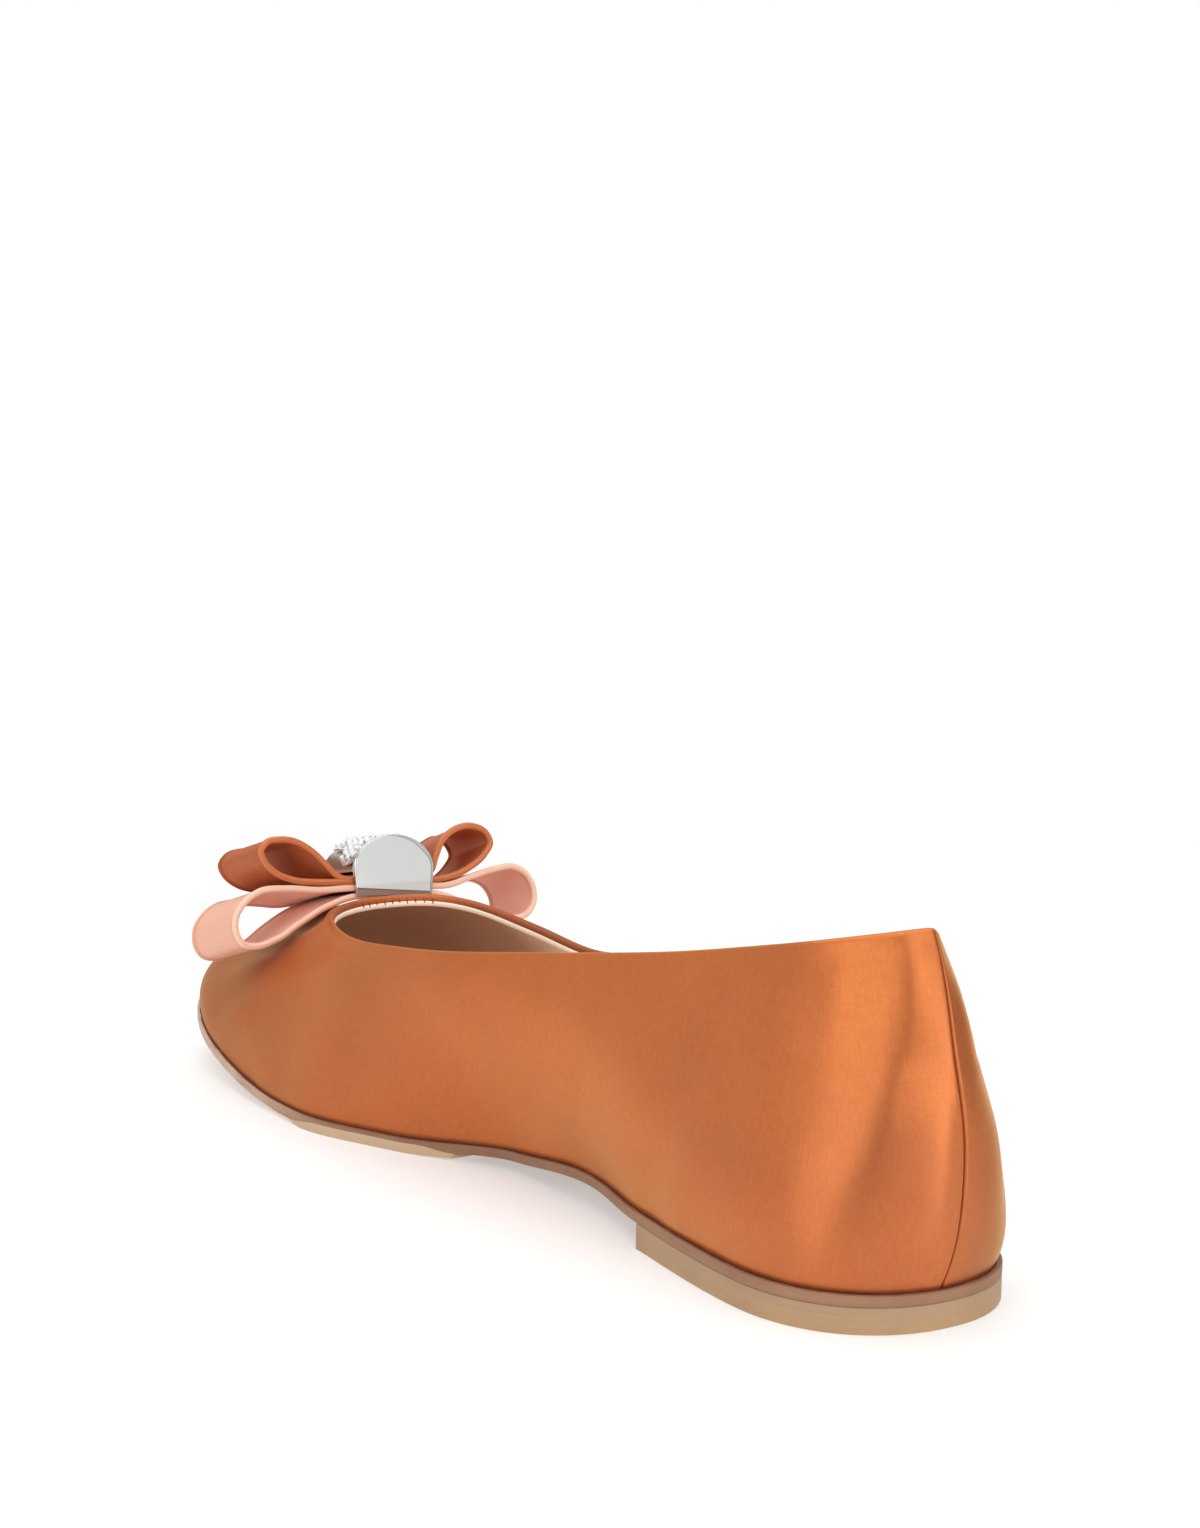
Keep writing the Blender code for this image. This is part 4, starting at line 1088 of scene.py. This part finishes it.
class Nodes:
    """Short calls for the nodes of one tree."""

    def __init__(self, tree):
        self.tree = tree

    def node(self, kind, **settings):
        made = self.tree.nodes.new(kind)
        for key, value in settings.items():
            if key in made.inputs:
                made.inputs[key].default_value = value
            else:
                setattr(made, key, value)
        return made

    def link(self, source, target):
        self.tree.links.new(source, target)

    def feed(self, socket, value):
        if isinstance(value, bpy.types.NodeSocket):
            self.link(value, socket)
        else:
            socket.default_value = value

    def mix(self, share, first, second):
        made = self.node("ShaderNodeMix", data_type="RGBA")
        for place_in, value in ((0, share), (6, first), (7, second)):
            self.feed(made.inputs[place_in], value)
        return made.outputs[2]

    def spread(self, source, start, end, low=0.0, high=1.0, soft=False):
        """A value from start to end turned into one from low to high, and held beyond them."""
        made = self.node("ShaderNodeMapRange", interpolation_type="SMOOTHSTEP" if soft else "LINEAR")
        sockets = ("From Min", "From Max", "To Min", "To Max")
        for socket, value in zip(sockets, (start, end, low, high)):
            made.inputs[socket].default_value = value
        self.link(source, made.inputs["Value"])
        return made.outputs["Result"]

    def level(self, source, low, high):
        return self.spread(source, 0.0, 1.0, low, high)

    def tint(self, base, tone, pattern, low, high):
        """base with tone laid over it, by a 0 to 1 pattern spread from low to high."""
        return self.mix(self.level(pattern, low, high), base, tone)

    def math(self, operation, first, second):
        made = self.node("ShaderNodeMath", operation=operation)
        self.feed(made.inputs[0], first)
        self.feed(made.inputs[1], second)
        return made.outputs["Value"]

    def dot(self, vector, direction):
        made = self.node("ShaderNodeVectorMath", operation="DOT_PRODUCT")
        self.link(vector, made.inputs[0])
        made.inputs[1].default_value = direction
        return made.outputs["Value"]

    def axes(self, vector):
        """The X, Y and Z of a vector."""
        made = self.node("ShaderNodeSeparateXYZ")
        self.link(vector, made.inputs["Vector"])
        return made.outputs

    def space(self, kind):
        """Texture coordinates: "Object", "UV" for places on the cloth, or "Generated"."""
        return self.node("ShaderNodeTexCoord").outputs[kind]

    def scaled(self, source, scale):
        """Texture coordinates stretched by three factors."""
        mapping = self.node("ShaderNodeMapping")
        mapping.inputs["Scale"].default_value = scale
        self.link(source, mapping.inputs["Vector"])
        return mapping.outputs["Vector"]

    def noise(self, vector, scale, detail=3.0, distortion=0.0):
        made = self.node("ShaderNodeTexNoise", Scale=scale, Detail=detail, Distortion=distortion)
        self.link(vector, made.inputs["Vector"])
        return made.outputs["Fac"]

    def ramp(self, source, *stops):
        """Colours by position; each stop is (position, colour)."""
        made = self.node("ShaderNodeValToRGB")
        band = made.color_ramp
        band.elements[0].position, band.elements[0].color = stops[0]
        band.elements[1].position, band.elements[1].color = stops[-1]
        for position, value in stops[1:-1]:
            band.elements.new(position).color = value
        self.link(source, made.inputs["Fac"])
        return made.outputs["Color"]


class Surface(Nodes):
    """A Principled material."""

    def __init__(self, name, roughness, metallic=0.0, **sockets):
        self.material = bpy.data.materials.new(name)
        self.material.use_nodes = True
        super().__init__(self.material.node_tree)
        self.shader = self.tree.nodes["Principled BSDF"]
        self.shader.inputs["Roughness"].default_value = roughness
        self.shader.inputs["Metallic"].default_value = metallic
        for key, value in sockets.items():
            self.shader.inputs[key.replace("_", " ")].default_value = value

    def onto(self, **sources):
        """Links to the shader's sockets."""
        for key, source in sources.items():
            self.link(source, self.shader.inputs[key.replace("_", " ")])

    def bump(self, height, distance, strength):
        made = self.node("ShaderNodeBump", Strength=strength, Distance=distance)
        self.link(height, made.inputs["Height"])
        self.onto(Normal=made.outputs["Normal"])


def satin(name, main, deep, warm, gloss, roughness, metallic, mottling, index=1.5, far_roughness=None,
          rim=None, inside=None, shade_and_mottle_tones=None, sheen=0.08):
    """Woven satin: fine threads along the cloth, faint mottling, and a golden, directed sheen.
    far_roughness is how rough it is at the toe, where the cloth is stretched over the last.
    rim is a ribbon's painted highlight on its folded edges and its painted shade in the sewn line behind
    them, inside a lighter tone of its inner face, which is painted light. For the upper, two darker tones
    are given as painted shade, towards the toe and on the outer side of the heel; the first also tints
    random ripples."""
    s = Surface(name, roughness, metallic, IOR=index, Anisotropic=0.8, Anisotropic_Rotation=0.25,
                Specular_Tint=gloss, Sheen_Weight=sheen, Sheen_Roughness=0.5, Sheen_Tint=warm)
    cloth = s.space("UV")
    where = s.space("Object")
    patches = s.noise(where, scale=38.0, detail=4.0)
    clouds = s.noise(where, scale=14.0, detail=2.0)
    warp, weft = [s.noise(s.scaled(cloth, threads), scale=1.0, detail=5.0, distortion=0.6)
                  for threads in THREADS]
    grain = s.noise(where, scale=1300.0, detail=5.0)
    base = s.tint(main, deep, patches, 0.0, mottling)
    base = s.tint(base, deep, clouds, 0.0, 0.3)
    base = s.tint(base, warm, warp, *THREAD_TINT)
    base = s.tint(base, deep, weft, *THREAD_TINT)
    base = s.tint(base, deep, grain, -0.2, 0.6)
    if rim:
        across = s.axes(cloth)["Y"]
        # painted light: a lighter tone laid over the ribbon's inner face
        base = s.tint(base, inside, s.math("LESS_THAN", across, CLOTH_WIDTH), 0.0, 0.75)
        # painted highlight on the folded rims, painted shade in the sewn line behind them
        from_edge = s.spread(s.math("PINGPONG", across, CLOTH_WIDTH / 2), 0.0, RIM_RADIUS * 3)
        rim_highlight = s.ramp(from_edge, (0.0, WHITE), (0.24, WHITE), (0.38, BLACK))
        groove_shade = s.ramp(from_edge, (0.3, BLACK), (0.46, WHITE), (0.75, BLACK))
        base = s.tint(base, rim[0], rim_highlight, 0.0, 0.85)
        base = s.tint(base, rim[1], groove_shade, 0.0, 0.7)
    if shade_and_mottle_tones:
        # painted shade: darker tones towards the toe and low on the outer side of the heel; the toe's tone
        # also tints random ripples
        toe_shade = s.spread(s.axes(where)["X"], *TOE_SHADE, soft=True)
        low_outside_shade = s.spread(s.dot(where, LOW_OUTSIDE), *HEEL_SHADE, soft=True)
        base = s.mix(low_outside_shade, s.mix(toe_shade, base, shade_and_mottle_tones[0]), shade_and_mottle_tones[1])
        ripples = s.noise(where, scale=21.0, detail=3.0, distortion=0.4)
        waves = s.ramp(ripples, (0.42, BLACK), (0.68, WHITE))
        base = s.tint(base, shade_and_mottle_tones[0], waves, 0.0, 0.3)
    rough = s.level(patches, roughness - 0.05, roughness + 0.05)
    if far_roughness:
        rise = s.spread(s.axes(where)["X"], *ROUGHENS, 0.0, far_roughness - roughness)
        rough = s.math("ADD", rough, rise)
    tangent = s.node("ShaderNodeTangent", direction_type="UV_MAP", uv_map="cloth")
    s.onto(Base_Color=base, Roughness=rough, Tangent=tangent.outputs["Tangent"])
    s.bump(s.mix(0.5, warp, weft), distance=0.0001, strength=0.4)
    return s.material


def leather(name, main, deep, roughness, grain, depth, painted_light_tone=None):
    """Smooth leather: fine pores and slow changes of tone, on to a paler tone behind the throat, which is
    painted light.
    """
    s = Surface(name, roughness)
    where = s.space("Object")
    patches = s.noise(where, scale=45.0, detail=4.0)
    base = s.tint(main, deep, patches, 0.0, 0.6)
    if painted_light_tone:
        # painted light: the lining grows paler away from the shaded throat
        base = s.mix(s.spread(s.axes(where)["X"], *LINING_LIGHT_SPAN), base, painted_light_tone)
    s.onto(Base_Color=base, Roughness=s.level(patches, roughness - 0.06, roughness + 0.08))
    s.bump(s.noise(where, grain, detail=6.0), depth, strength=0.5)
    return s.material


def layered_edge(name, heights, lengths, stain, roughness):
    """Edge of sole or heel: tones in soft layers by height and along the shoe, streaked along the
    edge, with fine fibres. heights and lengths are (metres, tone) from low to high."""
    s = Surface(name, roughness)
    where = s.space("Object")
    blotches = s.noise(where, scale=85.0, detail=5.0)
    tones = []
    for axis, stops in (("Z", heights), ("X", lengths)):
        start = stops[0][0]
        end = stops[-1][0]
        shares = [((at - start) / (end - start), tone) for at, tone in stops]
        tones.append(s.ramp(s.spread(s.axes(where)[axis], start, end), *shares))
    streaks = s.noise(s.scaled(where, (24.0, 24.0, 1100.0)), scale=1.0, detail=4.0)
    base = s.tint(s.mix(0.5, *tones), stain, streaks, -0.1, 0.5)
    s.onto(Base_Color=s.tint(base, stain, blotches, -0.2, 0.6),
           Roughness=s.level(blotches, roughness - 0.05, roughness + 0.1))
    fibres = s.noise(s.scaled(where, (320.0, 320.0, 2600.0)), scale=1.0, detail=4.0)
    s.bump(fibres, distance=0.00015, strength=0.7)
    return s.material


def rubber(name, main, deep):
    s = Surface(name, 0.6)
    where = s.space("Object")
    s.onto(Base_Color=s.tint(main, deep, s.noise(where, scale=70.0, detail=4.0), 0.0, 0.5))
    s.bump(s.noise(where, scale=1500.0, detail=3.0), distance=0.0001, strength=0.5)
    return s.material


def polished_metal(name, main, deep, roughness, low=None, hood_shade_tone=None, foot=None):
    """Plated metal with faint polishing marks. low is a painted reflection of the satin near the floor:
    its tone, the height up to which that is full and the height where it ends. With a hood tone,
    a darker grey of painted shade, low is kept to the hood, and the plate before it has foot, given
    likewise: a grey painted reflection at its foot, where it is duller too."""
    s = Surface(name, roughness, 1.0)
    where = s.space("Object")
    marks = s.noise(s.scaled(where, (1.0, 0.06, 1.0)), scale=2600.0, detail=2.0)
    base = s.tint(main, deep, s.noise(where, scale=90.0, detail=3.0), 0.0, 0.4)

    def below(full, end):
        return s.spread(s.axes(where)["Z"], full, end, 1.0, 0.0, soft=True)

    # painted shade: the hood is given a darker grey; painted reflections of the satin below, low on the
    # hood and foot on the plate
    if hood_shade_tone:
        at_foot = below(*foot[1:])
        plate_tone = s.mix(at_foot, base, foot[0])
        start, full = [(BOW_AT[0] - CENTRE_X + depth) * MM for depth in HOOD_SHADE_AT]
        behind = s.spread(s.axes(where)["X"], start, full)
        base = s.mix(behind, plate_tone, s.mix(below(*low[1:]), hood_shade_tone, low[0]))
        s.onto(Metallic=s.level(at_foot, 1.0, FOOT_METALLIC))
    # painted reflection of the satin near the floor
    elif low:
        base = s.mix(below(*low[1:]), base, low[0])
    s.onto(Base_Color=base, Roughness=s.level(marks, roughness * 0.8, roughness * 1.3))
    s.bump(marks, distance=0.000004, strength=0.2)
    return s.material


def cut_stones(name, pale, dark):
    """Mirrored cut stones: each facet takes its own grey from the light broken up inside the stone."""
    s = Surface(name, 0.2, 0.25)
    where = s.space("Object")
    cells = s.node("ShaderNodeTexVoronoi", Scale=1150.0)
    s.link(where, cells.inputs["Vector"])
    split = s.node("ShaderNodeSeparateColor")
    s.link(cells.outputs["Color"], split.inputs["Color"])
    glints = s.noise(where, scale=1500.0, detail=2.0)
    base = s.ramp(split.outputs["Red"], (0.1, dark), (0.3, pale), (1.0, pale))
    s.onto(Base_Color=s.tint(base, dark, glints, -0.3, 0.45), Roughness=s.level(glints, 0.12, 0.3))
    return s.material


# Studio ----------------------------------------------------------------------------------
def stand(name, data, at, axes):
    """A camera or light at a place in metres, turned to its own three axes."""
    obj = bpy.data.objects.new(name, data)
    bpy.context.scene.collection.objects.link(obj)
    turned = Matrix([tuple(axis) for axis in axes]).transposed().to_4x4()
    obj.matrix_world = Matrix.Translation(Vector(at)) @ turned
    return obj


def camera():
    turn, pitch, roll = np.radians([CAMERA_TURN, CAMERA_PITCH, CAMERA_ROLL])
    ahead = np.array([np.cos(turn) * np.cos(pitch), -np.sin(turn) * np.cos(pitch), -np.sin(pitch)])
    right = np.array([-np.sin(turn), -np.cos(turn), 0])
    up = np.cross(right, ahead)
    x = right * np.cos(roll) + up * np.sin(roll)
    y = up * np.cos(roll) - right * np.sin(roll)
    data = bpy.data.cameras.new("camera")
    data.lens = CAMERA_LENS
    data.clip_start = 0.01
    bpy.context.scene.camera = stand("camera", data, place(CAMERA_AT), (x, y, -ahead))


def towards(azimuth, elevation):
    turn, rise = np.radians([azimuth, elevation])
    return Vector((np.cos(turn) * np.cos(rise), np.sin(turn) * np.cos(rise), np.sin(rise)))


def softbox(name, start, end, distance, width, power, aim):
    """A long light between two directions."""
    start = towards(*start)
    end = towards(*end)
    facing = (start + end).normalized()
    data = bpy.data.lights.new(name, "AREA")
    data.shape = "RECTANGLE"
    data.size = width
    data.size_y = distance * np.tan(start.angle(end) / 2) * 2
    data.energy = power
    long_way = (end - start).normalized()
    axes = (long_way.cross(facing), long_way, facing)
    stand(name, data, Vector(aim) + facing * distance, axes)


def studio_walls():
    """Pale walls with a white backdrop and dark cards, as round an object of satin or metal."""
    world = bpy.data.worlds.new("studio")
    world.use_nodes = True
    walls = Nodes(world.node_tree)
    light = (WALL_LIGHT, WALL_LIGHT, WALL_LIGHT, 1.0)
    for direction, start, full, level in WALL_PARTS:
        ahead = walls.dot(walls.space("Generated"), Vector(direction).normalized())
        share = walls.spread(ahead, np.cos(np.radians(start)), np.cos(np.radians(full)), soft=True)
        light = walls.mix(share, light, (level, level, level, 1.0))
    backdrop = walls.tree.nodes["Background"]
    walls.link(light, backdrop.inputs["Color"])
    backdrop.inputs["Strength"].default_value = 1.0
    bpy.context.scene.world = world


def studio():
    scene = bpy.context.scene
    scene.view_settings.view_transform = "Standard"
    studio_walls()
    for name, box in SOFTBOXES.items():
        softbox(name, **box)
    table = Surface("floor", 0.7, Emission_Color=colour(255, 255, 254), Emission_Strength=FLOOR_GLOW)
    tone = table.noise(table.space("Object"), scale=3.0, detail=2.0)
    table.onto(Base_Color=table.tint(colour(206, 206, 205), colour(203, 203, 202), tone, 0.0, 0.2))
    mesh = bpy.data.meshes.new("floor")
    edit = bmesh.new()
    bmesh.ops.create_circle(edit, cap_ends=True, segments=96, radius=FLOOR_RADIUS)
    edit.to_mesh(mesh)
    edit.free()
    mesh.materials.append(table.material)
    floor = bpy.data.objects.new("floor", mesh)
    scene.collection.objects.link(floor)


def main():
    # the upper's two darker tones are painted shade, towards the toe and low on the outer side of the heel
    orange = satin("orange_satin", colour(205, 114, 61), colour(185, 88, 52), colour(236, 151, 76),
                   gloss=(1.0, 0.82, 0.30, 1.0), roughness=0.33, metallic=0.5, mottling=0.6, index=1.8,
                   far_roughness=0.52, shade_and_mottle_tones=(colour(155, 80, 64), colour(162, 86, 62)))
    # for both ribbons, rim is a painted highlight with painted shade in the sewn line, inside is painted
    # light on the inner face
    ribbon_orange = satin("dark_ribbon", colour(186, 101, 61), colour(168, 82, 50), colour(208, 124, 78),
                          gloss=(1.0, 0.8, 0.6, 1.0), roughness=0.5, metallic=0.15, mottling=0.5,
                          sheen=0.05, rim=(colour(208, 122, 76), colour(146, 66, 40)),
                          inside=colour(210, 122, 82))
    ribbon_pink = satin("light_ribbon", colour(238, 184, 158), colour(228, 164, 138),
                        colour(250, 208, 186), gloss=(1.0, 0.85, 0.8, 1.0), roughness=0.5,
                        metallic=0.0, mottling=0.4, sheen=0.3,
                        rim=(colour(250, 206, 180), colour(214, 146, 120)), inside=colour(255, 210, 192))
    # the lining's paler tone behind the throat is painted light
    nude = leather("nude_lining", colour(212, 174, 150), colour(200, 160, 134), roughness=0.55,
                   grain=900.0, depth=0.00008, painted_light_tone=colour(250, 230, 208))
    pale_edge = leather("lining_edge", colour(255, 238, 220), colour(250, 226, 206), roughness=0.5,
                        grain=900.0, depth=0.00006)
    thread = leather("pleat_thread", colour(140, 66, 36), colour(112, 50, 28), roughness=0.7,
                     grain=2000.0, depth=0.0001)
    sole = layered_edge(
        "sole_edge",
        heights=((0.001, colour(184, 144, 110)), (0.0075, colour(194, 156, 124)),
                 (0.012, colour(240, 214, 190))),
        lengths=((-0.128, colour(128, 82, 50)), (-0.07, colour(126, 80, 48)),
                 (-0.02, colour(92, 50, 28)), (0.03, colour(100, 58, 36)),
                 (0.056, colour(212, 176, 148)), (0.08, colour(250, 228, 208)),
                 (0.128, colour(252, 230, 210))),
        stain=colour(124, 78, 50), roughness=0.6)
    heel = layered_edge(
        "heel_edge",
        heights=((0.0, colour(206, 152, 88)), (0.0018, colour(178, 140, 96)),
                 (0.0048, colour(166, 132, 104))),
        lengths=((-0.128, colour(192, 160, 126)), (-0.063, colour(180, 146, 112))),
        stain=colour(150, 122, 92), roughness=0.55)
    tread = rubber("tread_rubber", colour(201, 173, 140), colour(184, 152, 120))
    # a dark cord standing in for the shade in the groove between upper and sole: painted shade
    shade_cord = leather("groove_shade_leather", colour(106, 52, 30), colour(76, 36, 22), roughness=0.85,
                   grain=1500.0, depth=0.0001)
    # painted reflections: low on the hood and on the face's foot, foot on the plate; the hood's grey is
    # painted shade
    chrome = polished_metal("polished_clasp", colour(206, 206, 203), colour(194, 194, 190), roughness=0.14,
                            low=(colour(150, 96, 68), 0.0494, 0.0512), hood_shade_tone=colour(174, 168, 160),
                            foot=(colour(172, 170, 166), 0.0450, 0.0458))
    # the face's metal is a lighter copy of the body's: the face painted light, the body's darker grey
    # painted shade
    chrome_face = polished_metal("polished_face", colour(224, 225, 222), colour(214, 215, 212),
                                 roughness=0.14, low=(colour(214, 211, 202), 0.0455, 0.0465))
    # a dark tube at the raised face's edge: painted shade
    shade_line_metal = polished_metal("clasp_shade_line", colour(136, 138, 140), colour(120, 122, 124), roughness=0.4)
    stones = cut_stones("cut_stones", colour(253, 253, 252), colour(176, 179, 180))

    make_satin(orange)
    make_lining(nude, pale_edge)
    make_pleats(thread)
    make_bottom(sole, heel, tread, nude, shade_cord)
    make_ribbon("upper_bow_ribbon", ribbon_orange, "bow_upper_ribbon",
                ORANGE_LEFT, ORANGE_RIGHT, ORANGE_STRANDS, ORANGE_PINCH, dip=ORANGE_DIP)
    make_ribbon("lower_bow_ribbon", ribbon_pink, "bow_lower_ribbon",
                PINK_LEFT, PINK_RIGHT, PINK_STRANDS, PINK_PINCH, tuck=PINK_TUCK)
    make_clasp(chrome, chrome_face, shade_line_metal)
    make_cap(stones)
    camera()
    studio()
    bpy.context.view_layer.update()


main()
